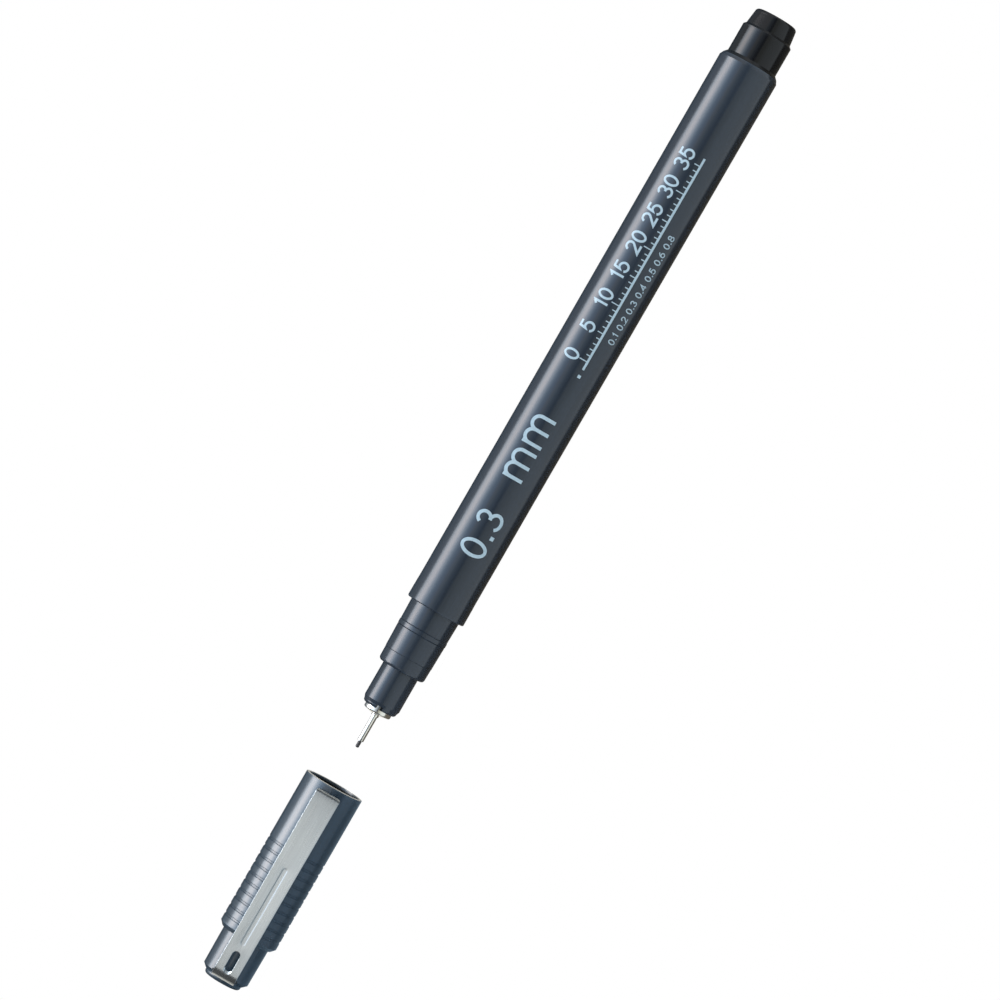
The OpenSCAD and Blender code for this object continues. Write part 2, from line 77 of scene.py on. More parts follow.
def barrel_radius(x):
    """Radius of the barrel at a place along it."""
    share = (x - GRIP_END_X) / (REAR_X - GRIP_END_X)
    return GRIP_R + (REAR_R - GRIP_R) * min(1, max(0, share))


def colour_prop(name, description, default):
    """A colour in the panel."""
    return bpy.props.FloatVectorProperty(
        name=name, description=description, subtype="COLOR", size=3, min=0, max=1, default=default
    )


def number_prop(name, description, default, **kept):
    """A number from nothing up in the panel."""
    return bpy.props.FloatProperty(
        name=name, description=description, min=0, default=default, **kept
    )


def length_prop(name, description, default):
    """A length in the panel, given in millimetres and kept in metres."""
    return number_prop(
        name, description, default * MM, unit="LENGTH", subtype="DISTANCE", precision=5
    )


def share_prop(name, description, default):
    """A share from nothing to all in the panel."""
    return number_prop(name, description, default, subtype="FACTOR", max=1)


class PlasticSettings(bpy.types.PropertyGroup):
    """Colours and gloss of the moulded parts."""

    slate: colour_prop(
        "Slate", "Colour of the barrel and the front section", (0.021, 0.032, 0.049)
    )
    slate_roughness: share_prop(
        "Slate roughness", "Roughness of the barrel and the front section", 0.2
    )
    black: colour_prop("Black", "Colour of the tail plug", (0.006, 0.007, 0.009))
    black_roughness: share_prop("Black roughness", "Roughness of the tail plug", 0.16)
    cap: colour_prop("Cap", "Colour of the metallic plastic of the cap", (0.02, 0.042, 0.068))
    cap_roughness: share_prop("Cap roughness", "Roughness of the cap", 0.3)
    flake: share_prop("Flake", "Share of metal flake in the cap's plastic", 0.04)
    liner: colour_prop("Liner", "Colour of the cap's liner", (0.012, 0.014, 0.016))
    liner_roughness: share_prop("Liner roughness", "Roughness of the cap's liner", 0.5)
    grain: length_prop("Grain", "Size of the grain in a moulded skin", 0.09)
    wear: share_prop("Wear", "How far rims and scratches are rubbed light", 0.25)


class SteelSettings(bpy.types.PropertyGroup):
    """Finish of the point and of the clip."""

    point: colour_prop("Point steel", "Colour of the ferrule and the tube", (0.80, 0.78, 0.73))
    point_roughness: share_prop("Point roughness", "Roughness of turned steel", 0.2)
    clip: colour_prop("Clip steel", "Colour of the clip", (0.645, 0.675, 0.668))
    clip_roughness: share_prop("Clip roughness", "Roughness of the clip", 0.3)
    brush_length: length_prop("Brush length", "Length of one brushed streak", 9)
    brush_width: length_prop("Brush width", "Width of one brushed streak", 0.07)
    edge_round: length_prop("Edge round", "Width of the clip's rounded edges", 0.045)
    turning: length_prop("Turning", "Distance between turning marks", 0.12)


class PrintSettings(bpy.types.PropertyGroup):
    """The size marking and the ruler on the barrel."""

    ink: colour_prop("Ink", "Colour of the print", (0.4, 0.55, 0.655))
    proud: length_prop("Proud", "Height of the print above the barrel", 0.02)
    sunk: length_prop("Sunk", "Depth of the print's back in the barrel", 0.02)
    size_height: length_prop("Size height", "Height of the large numbers", 4.0)
    size_stroke: length_prop("Size stroke", "Stroke of the large numbers", 0.54)
    unit_stroke: length_prop("Unit stroke", "Stroke of the unit's letters", 0.56)
    number_height: length_prop("Number height", "Height of the ruler's numbers", 2.3)
    number_stroke: length_prop("Number stroke", "Stroke of the numbers", 0.37)
    small_height: length_prop("Small height", "Height of the row of widths", 1.1)
    small_stroke: length_prop("Small stroke", "Stroke of the row of widths", 0.18)
    rule_width: length_prop("Rule width", "Width of the ruler's long line", 0.37)
    tick_width: length_prop("Tick width", "Width of one tick", 0.16)
    tick_pitch: length_prop("Tick pitch", "Distance between ticks", 1)
    tick_count: bpy.props.IntProperty(
        name="Ticks", description="Number of ticks on the ruler", min=2, default=36
    )


class StudioSettings(bpy.types.PropertyGroup):
    """Camera, lamps and floor."""

    focal: length_prop("Focal length", "Focal length of the camera", 172.6)
    floor: share_prop("Floor", "Lightness of the floor", 0.94)
    ambient: number_prop("Room light", "Light of the room on all sides", 0.95)
    top: number_prop("Top lamp", "Power of the soft lamp above, in watts", 0.6)
    sheen: number_prop("Sheen lamp", "Power of the long reflected lamp", 2.98)


GROUPS = {
    "fineliner_plastic": PlasticSettings,
    "fineliner_steel": SteelSettings,
    "fineliner_print": PrintSettings,
    "fineliner_studio": StudioSettings,
}

WHITE = (1, 1, 1, 1)
# Most values of a noise lie between these
NOISE_LOW, NOISE_HIGH = 0.3, 0.7


def opaque(colour, factor):
    """A colour with its alpha, made lighter or darker by a factor."""
    return (*(min(1, channel * factor) for channel in colour), 1)


class Tree:
    """Short calls that add nodes to one tree."""

    def __init__(self, tree):
        self.tree = tree
        tree.nodes.clear()

    def put(self, socket, value):
        """Joins another node's output to a socket, or sets its value."""
        if isinstance(value, bpy.types.NodeSocket):
            self.tree.links.new(value, socket)
        else:
            socket.default_value = value

    def add(self, kind, inputs=None, **settings):
        """A node, with its inputs by name or number."""
        node = self.tree.nodes.new(kind)
        for name, value in settings.items():
            setattr(node, name, value)
        for name, value in (inputs or {}).items():
            self.put(node.inputs[name], value)
        return node

    def math(self, operation, *values, clamp=False):
        """One step of arithmetic on numbers."""
        inputs = dict(enumerate(values))
        return self.add("ShaderNodeMath", inputs, operation=operation, use_clamp=clamp).outputs[0]

    def product(self, first, *others):
        """Numbers multiplied together."""
        for other in others:
            first = self.math("MULTIPLY", first, other)
        return first

    def reach(self, a, b):
        """Length of the flat vector with two given parts."""
        squares = [self.math("POWER", part, 2.0) for part in (a, b)]
        return self.math("SQRT", self.math("ADD", *squares))

    def span(self, value, low, high, to_low=0.0, to_high=1.0, smooth=False):
        """A number carried from one span to another, and kept in it."""
        node = self.add(
            "ShaderNodeMapRange",
            dict(enumerate((value, low, high, to_low, to_high))),
            clamp=True,
            interpolation_type="SMOOTHSTEP" if smooth else "LINEAR",
        )
        return node.outputs[0]

    def fall(self, value, start, end, smooth=False):
        """One up to a start, and nothing from an end on."""
        return self.span(value, start, end, 1.0, 0.0, smooth)

    def vary(self, noise, middle, less, more, low=NOISE_LOW, high=NOISE_HIGH):
        """A number that a noise moves round its middle, between two factors."""
        return self.span(noise, low, high, middle * less, middle * more)

    def sized(self, coordinates, size):
        """Coordinates counted in a size, which may be one for each axis."""
        sizes = size if isinstance(size, tuple) else (size, size, size)
        scale = tuple(1 / each for each in sizes)
        return self.add("ShaderNodeMapping", {"Vector": coordinates, "Scale": scale}).outputs[0]

    def noise(self, coordinates, size, detail=2.0, roughness=0.5):
        """Soft random values, with one lump to each size; a size for each axis stretches it."""
        inputs = {"Scale": 1.0, "Detail": detail, "Roughness": roughness}
        inputs["Vector"] = self.sized(coordinates, size)
        return self.add("ShaderNodeTexNoise", inputs).outputs["Fac"]

    def parts(self, vector):
        """The three numbers of a vector."""
        return self.add("ShaderNodeSeparateXYZ", {"Vector": vector}).outputs

    def xyz(self, x=0.0, y=0.0, z=0.0):
        """A vector from three numbers."""
        return self.add("ShaderNodeCombineXYZ", {"X": x, "Y": y, "Z": z}).outputs[0]

    def mix(self, share, first, second):
        """Two colours mixed by a share."""
        inputs = {0: share, 6: first, 7: second}
        return self.add("ShaderNodeMix", inputs, data_type="RGBA").outputs[2]

    def shades(self, noise, colour, darker, lighter, low=NOISE_LOW, high=NOISE_HIGH):
        """A colour that a noise makes darker and lighter, between two factors."""
        share = self.span(noise, low, high)
        return self.mix(share, opaque(colour, darker), opaque(colour, lighter))

    def ramp(self, value, stops, smooth=True):
        """A colour for each place between nothing and one."""
        node = self.add("ShaderNodeValToRGB", {"Fac": value})
        elements = node.color_ramp.elements
        node.color_ramp.interpolation = "EASE" if smooth else "LINEAR"
        while len(elements) < len(stops):
            elements.new(0.5)
        for element, (place, colour) in zip(elements, stops):
            element.position = place
            element.color = (*colour, 1)
        return node.outputs[0]

    def bump(self, height, distance, normal=None):
        """Relief of a real height in metres."""
        inputs = {"Height": height, "Distance": distance}
        if normal is not None:
            inputs["Normal"] = normal
        return self.add("ShaderNodeBump", inputs).outputs[0]

    def glow(self, colour, strength=1.0):
        """A shader that shines by itself."""
        return self.add("ShaderNodeEmission", {"Color": colour, "Strength": strength}).outputs[0]

    def blend(self, share, first, second):
        """Two shaders mixed by a share."""
        return self.add("ShaderNodeMixShader", {0: share, 1: first, 2: second}).outputs[0]

    def end(self, shader, kind="Material"):
        """Joins a shader to the tree's output."""
        self.add("ShaderNodeOutput" + kind, {"Surface": shader})

    def surface(self, base, rough, normal, more=None):
        """Ends the tree with a main shader, given three inputs and more by name."""
        inputs = {"Base Color": base, "Roughness": rough, "Normal": normal, **(more or {})}
        self.end(self.add("ShaderNodeBsdfPrincipled", inputs).outputs[0])


def new_material(name):
    """A new material, its tree and the place on the object."""
    material = bpy.data.materials.new(name)
    material.use_nodes = True
    tree = Tree(material.node_tree)
    return material, tree, tree.add("ShaderNodeTexCoord").outputs["Object"]


# Marks in moulded plastic, the values of their noise between which they come to show, and how
# light and rough rubbed places are
SCRATCH = (14 * MM, 0.16 * MM, 0.16 * MM)
SCRATCH_SHOWS, RUB_SHOWS = (0.66, 0.74), (0.42, 0.62)
SCRATCH_DEPTH = 0.0012 * MM
SCRATCH_WEAR = 0.4
FLOW = (22 * MM, 1.6 * MM, 1.6 * MM)
CLOUD = 5 * MM
FLAKE, SPARK_SHARE, SPARK_LIGHT = 0.07 * MM, 0.3, 1.6
GRAIN_DEPTH = 0.0005 * MM
RIM_WEAR = 0.5 * MM
RUBBED_LIGHT, RUBBED_ROUGH = 2.6, 0.5
BLACK_SHINE = 0.3

# The cap's coat, its bore, the painted highlight on its mouth's rim, and its grooves' painted shade
CAP_TINT = (1.0, 0.96, 0.88, 1)
CAP_COAT, COAT_ROUGHNESS = 0.7, 0.2
BORE_R, BORE_EDGE = 4.33 * MM, 0.12 * MM
BORE_END_X = MOUTH_X - 26.4 * MM
BORE_COLOUR = (0.006, 0.007, 0.008, 1)
BORE_ROUGHNESS = 0.7
# A painted highlight on the rim of the cap's mouth: its width and its colour
RIM_EDGE = 0.1 * MM
RIM_HIGHLIGHT = (0.36, 0.35, 0.31, 1)
# The shine left in the matt bore and in the painted shade of the grooves
LOW_SHINE = 0.12
GROOVE_TOP_R, GROOVE_DEPTH = 4.95 * MM, 0.09 * MM
GROOVE_FLOOR_R = GROOVE_TOP_R - GROOVE_DEPTH
GROOVES_FROM, GROOVES_TO = MOUTH_X - 25.6 * MM, MOUTH_X - 10.5 * MM
# How far painted shade cuts the shine on the grooves' floors and on their walls
GROOVE_FLOOR_SHADE, GROOVE_WALL_SHADE = 0.15, 0.9


def rim_mask(tree, place, rims):
    """One on each rim along the pen, falling to nothing a little away from it."""
    x = tree.parts(place)[0]
    mask = None
    for rim in rims:
        away = tree.math("ABSOLUTE", tree.math("SUBTRACT", x, rim))
        near = tree.fall(away, 0.0, RIM_WEAR, smooth=True)
        mask = near if mask is None else tree.math("MAXIMUM", mask, near)
    return mask


def cap_masks(tree, place):
    """The bore, a painted highlight on the mouth's rim, and painted shade in the grooves, most on
    their walls.
    """
    x, y, z = tree.parts(place)
    radius = tree.reach(tree.math("SUBTRACT", y, AXIS_Y), tree.math("SUBTRACT", z, AXIS_Z))
    inside = tree.product(
        tree.fall(radius, BORE_R, BORE_R + BORE_EDGE), tree.math("GREATER_THAN", x, BORE_END_X)
    )
    # Painted highlight on the rim of the mouth
    rim_highlight = tree.product(
        tree.span(x, MOUTH_X - RIM_EDGE, MOUTH_X - RIM_EDGE / 2),
        tree.math("SUBTRACT", 1.0, inside),
    )
    # Painted shade in the grooves: their shine is cut, most on their walls
    groove_shade = tree.product(
        tree.fall(radius, GROOVE_TOP_R - GROOVE_DEPTH / 3, GROOVE_TOP_R - GROOVE_DEPTH / 9),
        tree.span(
            radius,
            GROOVE_FLOOR_R + GROOVE_DEPTH / 20,
            GROOVE_FLOOR_R + GROOVE_DEPTH / 6,
            GROOVE_FLOOR_SHADE,
            GROOVE_WALL_SHADE,
        ),
        tree.math("GREATER_THAN", x, GROOVES_FROM),
        tree.math("LESS_THAN", x, GROOVES_TO),
    )
    return inside, rim_highlight, groove_shade


def moulded(name, settings, colour, roughness, rims=(), shine=0.5, cap=False):
    """Moulded plastic: flow marks in the colour, a fine grain, faint scratches and rubbed rims.

    A cap has metal flakes, a coat and a dark matt bore, with a painted highlight on its rim and
    painted shade in its grooves.
    """
    material, tree, place = new_material(name)
    cloud = tree.noise(place, CLOUD)
    scratch = tree.span(tree.noise(place, SCRATCH, 1.0), *SCRATCH_SHOWS)
    base = tree.shades(tree.noise(place, FLOW, 3.0), colour, 0.9, 1.1)
    if cap:
        # Flakes at many angles catch more or less light; lighter cells in the colour paint these
        # glints
        flakes = {"Vector": tree.sized(place, FLAKE), "Scale": 1.0}
        cells = tree.add("ShaderNodeTexVoronoi", flakes).outputs["Color"]
        spark = tree.add("ShaderNodeSeparateColor", {"Color": cells}).outputs[0]
        base = tree.mix(tree.product(spark, SPARK_SHARE), base, opaque(colour, SPARK_LIGHT))
    worn = tree.product(scratch, settings.wear * SCRATCH_WEAR)
    if rims:
        rubbed = tree.product(rim_mask(tree, place, rims), tree.span(cloud, *RUB_SHOWS))
        worn = tree.math("MAXIMUM", worn, tree.product(rubbed, settings.wear))
    base = tree.mix(worn, base, opaque(colour, RUBBED_LIGHT))
    rough = tree.math(
        "ADD",
        tree.vary(cloud, roughness, 0.88, 1.12, 0.25, 0.75),
        tree.product(worn, RUBBED_ROUGH),
    )
    more = {"Specular IOR Level": shine}
    if cap:
        inside, rim_highlight, groove_shade = cap_masks(tree, place)
        # The mouth's rim gets a painted highlight
        base = tree.mix(rim_highlight, tree.mix(inside, base, BORE_COLOUR), RIM_HIGHLIGHT)
        rough = tree.math("MAXIMUM", rough, tree.product(inside, BORE_ROUGHNESS))
        # The bore is matt; in the grooves the cut shine and coat are painted shade
        bore_matt_groove_shade = tree.math("MAXIMUM", inside, groove_shade)
        outside = tree.math("SUBTRACT", 1.0, bore_matt_groove_shade)
        more = {
            "Metallic": tree.product(settings.flake, outside),
            "Coat Weight": tree.product(CAP_COAT, outside),
            "Coat Roughness": COAT_ROUGHNESS,
            "Specular IOR Level": tree.span(bore_matt_groove_shade, 0.0, 1.0, shine, LOW_SHINE),
            "Specular Tint": CAP_TINT,
        }
    skin = tree.bump(tree.noise(place, settings.grain, 1.0), GRAIN_DEPTH)
    cut = tree.bump(tree.product(scratch, -1.0), SCRATCH_DEPTH, skin)
    tree.surface(base, rough, cut, more)
    return material


# Marks in steel
TURNING_WIDTH, TURNING_DEPTH = 3 * MM, 0.0003 * MM
STAIN = 0.8 * MM
BRUSH_DEPTH = 0.0011 * MM
STREAK_SHARE, BROAD_LENGTH, BROAD_WIDTH = 0.6, 1.5, 6
DULL_PATCH = 2.5 * MM


def turned_steel(name, settings):
    """Turned steel: fine rings round the axis, faint stains, a cream tint."""
    material, tree, place = new_material(name)
    rings = tree.noise(place, (settings.turning, TURNING_WIDTH, TURNING_WIDTH))
    base = tree.shades(tree.noise(place, STAIN, 3.0), settings.point, 0.92, 1.06)
    rough = tree.vary(rings, settings.point_roughness, 0.75, 1.3)
    tree.surface(base, rough, tree.bump(rings, TURNING_DEPTH), {"Metallic": 1.0})
    return material


def brushed_steel(name, settings):
    """Spring steel brushed lengthwise, with fine streaks, a few deeper ones and dull patches."""
    material, tree, place = new_material(name)
    length, width = settings.brush_length, settings.brush_width
    streaks = tree.noise(place, (length, width, width), 3.0, 0.6)
    across = width * BROAD_WIDTH
    broad = tree.noise(place, (length * BROAD_LENGTH, across, across))
    patch = tree.noise(place, DULL_PATCH, 3.0)
    streaks_part = tree.product(streaks, STREAK_SHARE)
    tone = tree.math("ADD", streaks_part, tree.product(broad, 1 - STREAK_SHARE))
    base = tree.shades(tone, settings.clip, 0.9, 1.08, 0.35, 0.65)
    rough = tree.math(
        "ADD",
        tree.span(streaks, NOISE_LOW, NOISE_HIGH, -0.05, 0.05),
        tree.vary(patch, settings.clip_roughness, 0.94, 1.06),
    )
    tree.surface(base, rough, tree.bump(streaks, BRUSH_DEPTH), {"Metallic": 1.0})
    return material


# Marks in fibre, film and ink
FIBRE_COLOUR, NIB_COLOUR = (0.02, 0.021, 0.024), (0.045, 0.046, 0.05)
STRAND, NIB_STRAND = 0.05 * MM, 0.03 * MM
STRAND_STRETCH, STRAND_RELIEF, SOAKED_PATCH = 40, 0.2, 1.5 * MM
CREASE, CREASE_DEPTH = (12 * MM, 0.5 * MM, 0.5 * MM), 0.01 * MM
FILM_DARK, FILM_LIGHT = (0.6, 0.63, 0.66, 1), (0.78, 0.8, 0.82, 1)
INK_CLOUD, INK_DEPTH, PINHOLE = 0.35 * MM, 0.002 * MM, 0.06 * MM
PINHOLE_SHOWS = (0.68, 0.76)


def fibre(name, colour, size, roughness=0.85):
    """Bonded fibre soaked with ink: strands along the pen, and darker soaked patches."""
    material, tree, place = new_material(name)
    strands = tree.noise(place, (size * STRAND_STRETCH, size, size))
    base = tree.mix(strands, opaque(colour, 0.6), opaque(colour, 1.4))
    soaked = tree.span(tree.noise(place, SOAKED_PATCH), 0.35, 0.7)
    base = tree.mix(soaked, base, opaque(colour, 0.5))
    rough = tree.vary(strands, roughness, 0.9, 1.1, 0.2, 0.8)
    tree.surface(base, rough, tree.bump(strands, size * STRAND_RELIEF))
    return material


def thin_film(name):
    """The clear film round the ink core, slightly creased lengthwise."""
    material, tree, place = new_material(name)
    crease = tree.noise(place, CREASE)
    base = tree.mix(crease, FILM_DARK, FILM_LIGHT)
    rough = tree.span(crease, NOISE_LOW, NOISE_HIGH, 0.08, 0.2)
    clear = {"Transmission Weight": 0.8, "IOR": 1.45}
    tree.surface(base, rough, tree.bump(crease, CREASE_DEPTH), clear)
    return material


def print_ink(name, settings):
    """Pad-printed ink: pale blue, a little uneven where the pad carried less of it."""
    material, tree, place = new_material(name)
    body = tree.noise(place, INK_CLOUD, 3.0)
    thin = tree.product(tree.span(tree.noise(place, PINHOLE, 1.0), *PINHOLE_SHOWS), 0.35)
    base = tree.shades(body, settings.ink, 0.93, 1.07)
    base = tree.mix(thin, base, opaque(settings.ink, 0.55))
    rough = tree.span(body, NOISE_LOW, NOISE_HIGH, 0.3, 0.42)
    tree.surface(base, rough, tree.bump(body, INK_DEPTH))
    return material


def dress(material, *nodes):
    """Gives nodes of the model a finish."""
    for name in nodes:
        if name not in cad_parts:
            raise RuntimeError(f"the model has no piece {name}")
        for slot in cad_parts[name].material_slots:
            slot.material = material


def in_scene(name, data):
    """A new object in the scene, at the origin."""
    thing = bpy.data.objects.new(name, data)
    bpy.context.scene.collection.objects.link(thing)
    return thing


def new_piece(name, mesh, material, body):
    """A piece of the object, at the origin, that rides on a body."""
    piece = in_scene(name, mesh)
    mesh.materials.clear()
    mesh.materials.append(material)
    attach(piece, body)
    return piece


def closed_mesh(name, work):
    """A mesh from finished work, with all faces turned outwards."""
    bmesh.ops.recalc_face_normals(work, faces=work.faces)
    mesh = bpy.data.meshes.new(name)
    work.to_mesh(mesh)
    work.free()
    if not mesh.polygons:
        raise RuntimeError(f"{name} is empty")
    return mesh


class FINELINER_OT_dress_barrel(bpy.types.Operator):
    """Gives the barrel and the front section their slate plastic"""

    bl_idname = "fineliner.dress_barrel"
    bl_label = "Dress barrel"

    def execute(self, context):
        plastic = context.scene.fineliner_plastic
        look, rims = (plastic.slate, plastic.slate_roughness), (RIM_X, TAIL_X)
        slate = moulded("Slate moulded plastic", plastic, *look, rims)
        dress(slate, "barrel", "front_section")
        return {"FINISHED"}


class FINELINER_OT_dress_point(bpy.types.Operator):
    """Gives the ferrule and the tube turned steel, and the nib its dark plastic"""

    bl_idname = "fineliner.dress_point"
    bl_label = "Dress point"

    def execute(self, context):
        steel = turned_steel("Turned steel", context.scene.fineliner_steel)
        dress(steel, "tip_ferrule", "tip_tube")
        dress(fibre("Nib plastic", NIB_COLOUR, NIB_STRAND, roughness=0.5), "nib")
        return {"FINISHED"}


class FINELINER_OT_dress_tail(bpy.types.Operator):
    """Gives the tail plug its glossy black plastic"""

    bl_idname = "fineliner.dress_tail"
    bl_label = "Dress tail"

    def execute(self, context):
        plastic = context.scene.fineliner_plastic
        look, rims = (plastic.black, plastic.black_roughness), (TAIL_X, POST_END_X, END_X)
        black = moulded("Glossy black plastic", plastic, *look, rims, shine=BLACK_SHINE)
        dress(black, "tail_plug")
        return {"FINISHED"}


class FINELINER_OT_dress_cap(bpy.types.Operator):
    """Gives the cap's shell and crown their flaked plastic, and the liner a dark one"""

    bl_idname = "fineliner.dress_cap"
    bl_label = "Dress cap"

    def execute(self, context):
        plastic = context.scene.fineliner_plastic
        look, rims = (plastic.cap, plastic.cap_roughness), (MOUTH_X, SHOULDER_X, CROWN_X)
        flaked = moulded("Flaked blue-grey plastic", plastic, *look, rims, cap=True)
        dress(flaked, "cap_shell", "cap_crown")
        liner = moulded("Liner plastic", plastic, plastic.liner, plastic.liner_roughness)
        dress(liner, "cap_liner")
        return {"FINISHED"}


# The clip's strip, in millimetres: places from the cap's mouth, heights over the cap's axis
STRIP_TIP, STRIP_ROOT = 1.1, 34.6
STRIP_LOW, STRIP_TOP, FOOT_LOW = 5.01, 6.3, 2.59
STRIP_T = 0.3
TIP_BEND, ROOT_BEND, FOOT_BEND = 0.55, 1.6, 0.35
FOOT_LEN = 0.8
TIP_HALF, ROOT_HALF, TIP_CORNER = 2.07, 1.99, 0.3
# Runs of its outer side from the free end to the foot: length, and turn in degrees
STRIP_RUNS = (
    (STRIP_TOP - TIP_BEND - STRIP_LOW, 0),
    (TIP_BEND * math.pi / 2, 90),
    (STRIP_ROOT - STRIP_TIP - TIP_BEND - ROOT_BEND, 0),
    (ROOT_BEND * math.pi / 2, 90),
    (STRIP_TOP - ROOT_BEND - FOOT_LOW - FOOT_BEND, 0),
    (FOOT_BEND * math.pi / 2, 90),
    (STRIP_T + FOOT_LEN - FOOT_BEND, 0),
)
# The length along the strip at which its flat run would pass the mouth
MOUTH_ALONG = STRIP_RUNS[0][0] + STRIP_RUNS[1][0] - STRIP_TIP - TIP_BEND
BEND_STEP = 7.5
# The oblong hole and the pressed channel: half width, and middles of the round ends
HOLE_HALF, HOLE_FROM, HOLE_TO = 0.665, 30.095, 32.665
CHANNEL_HALF, CHANNEL_FROM, CHANNEL_TO = 0.4, 14.88, 27.88
# How far the hole's root end leans back on the strip's inner side
HOLE_LEAN = 0.42
# How far rows of points stay from the hole, in widths of its rounded edge
HOLE_CLEAR = 1.5
# The channel's wall: reach past its half width, and depth
CHANNEL_WALL = (
    (0.06, 0.0), (0.02, 0.004), (-0.02, 0.014), (-0.07, 0.031), (-0.11, 0.042), (-0.16, 0.046)
)
# Insets of the lines on a rounded edge, as shares of its radius
EDGE_INSETS = (0.0, 0.12, 0.35, 0.65, 1.0, 1.3)
# Points closer than this are one point
SAME = 1e-6
SHARP_TURN = math.radians(50)


def strip_place(along):
    """Where the strip's outer side is at a length along it, and which way it faces."""
    place, heading = Vector((STRIP_TIP, STRIP_LOW)), math.pi / 2
    for index, (length, turn) in enumerate(STRIP_RUNS):
        step = along if index == len(STRIP_RUNS) - 1 else min(along, length)
        if turn:
            radius = length / math.radians(turn)
            middle = place + radius * Vector((math.sin(heading), -math.cos(heading)))
            heading -= step / radius
            place = middle + radius * Vector((-math.sin(heading), math.cos(heading)))
        else:
            place = place + step * Vector((math.cos(heading), math.sin(heading)))
        along -= step
        if along <= 0:
            break
    return place, Vector((-math.sin(heading), math.cos(heading)))


def strip_half(place):
    """Half of the strip's width at a place from the mouth."""
    from_corner = place - STRIP_TIP - TIP_CORNER
    if from_corner < 0:
        bulge = math.sqrt(max(0, TIP_CORNER**2 - from_corner**2))
        return TIP_HALF - TIP_CORNER + bulge
    return TIP_HALF + (ROOT_HALF - TIP_HALF) * from_corner / (STRIP_ROOT - STRIP_TIP)


def strip_rows():
    """Lengths along the strip, each with whether a row of points crosses it there."""
    rows, start = [(0.0, False)], 0.0
    for length, turn in STRIP_RUNS:
        parts = math.ceil(turn / BEND_STEP) if turn else math.ceil(length)
        if turn:
            rows[-1] = (start, True)
        rows += [(start + length * part / parts, bool(turn)) for part in range(1, parts + 1)]
        start += length
    return rows


def strip_outline(rows, inset):
    """The strip's outline laid flat, drawn in by an inset: one point for each row and side."""
    last = rows[-1][0]
    side = []
    for along, _ in rows:
        kept = min(max(along, inset), last - inset)
        side.append((kept, strip_half(strip_place(kept)[0].x) - inset))
    return side + [(along, -half) for along, half in reversed(side)]


def capsule(half, start, end, steps=16):
    """Points round a long hole, laid flat, from the middles of its round ends."""
    points = []
    for middle, first in ((end, -90), (start, 90)):
        for step in range(steps + 1):
            angle = math.radians(first + 180 * step / steps)
            along = MOUTH_ALONG + middle + half * math.cos(angle)
            points.append((along, half * math.sin(angle)))
    return points


def clip_mesh(name, edge):
    """The clip's strip, cut and pressed while flat, then folded up."""
    rows = strip_rows()
    hole_start, hole_end = MOUTH_ALONG + HOLE_FROM, MOUTH_ALONG + HOLE_TO
    flat, edges, shapes, walls = [], [], [], []

    def draw(points, rounding=0.0, pressed=0.0, lean_from=math.inf):
        """Adds a closed line, and how its points shape the strip."""
        first, count = len(flat), len(points)
        flat.extend(Vector(point) for point in points)
        edges.extend((first + i, first + (i + 1) % count) for i in range(count))
        for along, _ in points:
            lean = HOLE_LEAN if along > lean_from - SAME else 0.0
            shapes.append((rounding, pressed, lean))
        return range(first, first + count)

    for share in EDGE_INSETS:
        rounding = edge * (1 - math.sqrt(1 - max(0.0, 1 - share) ** 2))
        outline = draw(strip_outline(rows, share * edge), rounding)
        rim = capsule(HOLE_HALF + share * edge, HOLE_FROM, HOLE_TO)
        hole = draw(rim, rounding, lean_from=hole_end)
        if not walls:
            walls = [outline, hole]
    # Rows across the bends, which stop short of the hole
    gap = HOLE_HALF + HOLE_CLEAR * edge
    for index, (along, crossed) in enumerate(rows):
        ends, beyond = (outline[index], outline[-1 - index]), along - hole_end
        if crossed and 0 < beyond < gap:
            reach = math.sqrt(gap**2 - beyond**2)
            for end, side in zip(ends, (reach, -reach)):
                edges.append((end, len(flat)))
                flat.append(Vector((along, side)))
                shapes.append((0.0, 0.0, 0.0))
        elif crossed:
            edges.append(ends)
    for reach, depth in CHANNEL_WALL:
        draw(capsule(CHANNEL_HALF + reach, CHANNEL_FROM, CHANNEL_TO), pressed=depth)

    points, _, faces, sources, _, _ = delaunay_2d_cdt(flat, edges, [], 1, SAME)
    work = bmesh.new()
    sides = []
    for under in (False, True):
        corners = []
        for point, source in zip(points, sources):
            rounding, pressed, lean = shapes[source[0]]
            depth = pressed + (STRIP_T - rounding if under else rounding)
            place, out = strip_place(point.x - (lean if under else 0))
            place = place - out * depth
            corner = (MOUTH_X - place.x * MM, AXIS_Y - place.y * MM, AXIS_Z + point.y * MM)
            corners.append(work.verts.new(corner))
        sides.append(corners)
    for face in faces:
        middle = sum((points[index] for index in face), Vector((0, 0))) / len(face)
        core = Vector((min(max(middle.x, hole_start), hole_end), 0))
        if (middle - core).length < HOLE_HALF:
            continue
        work.faces.new([sides[0][index] for index in reversed(face)])
        work.faces.new([sides[1][index] for index in face])
    spot = {source[0]: index for index, source in enumerate(sources)}
    for wall in walls:
        for index, start in enumerate(wall):
            a, b = spot[start], spot[wall[(index + 1) % len(wall)]]
            work.faces.new((sides[0][a], sides[0][b], sides[1][b], sides[1][a]))
    for loose in [vert for vert in work.verts if not vert.link_faces]:
        work.verts.remove(loose)
    for face in work.faces:
        face.smooth = True
    mesh = closed_mesh(name, work)
    mesh.set_sharp_from_angle(angle=SHARP_TURN)
    return mesh


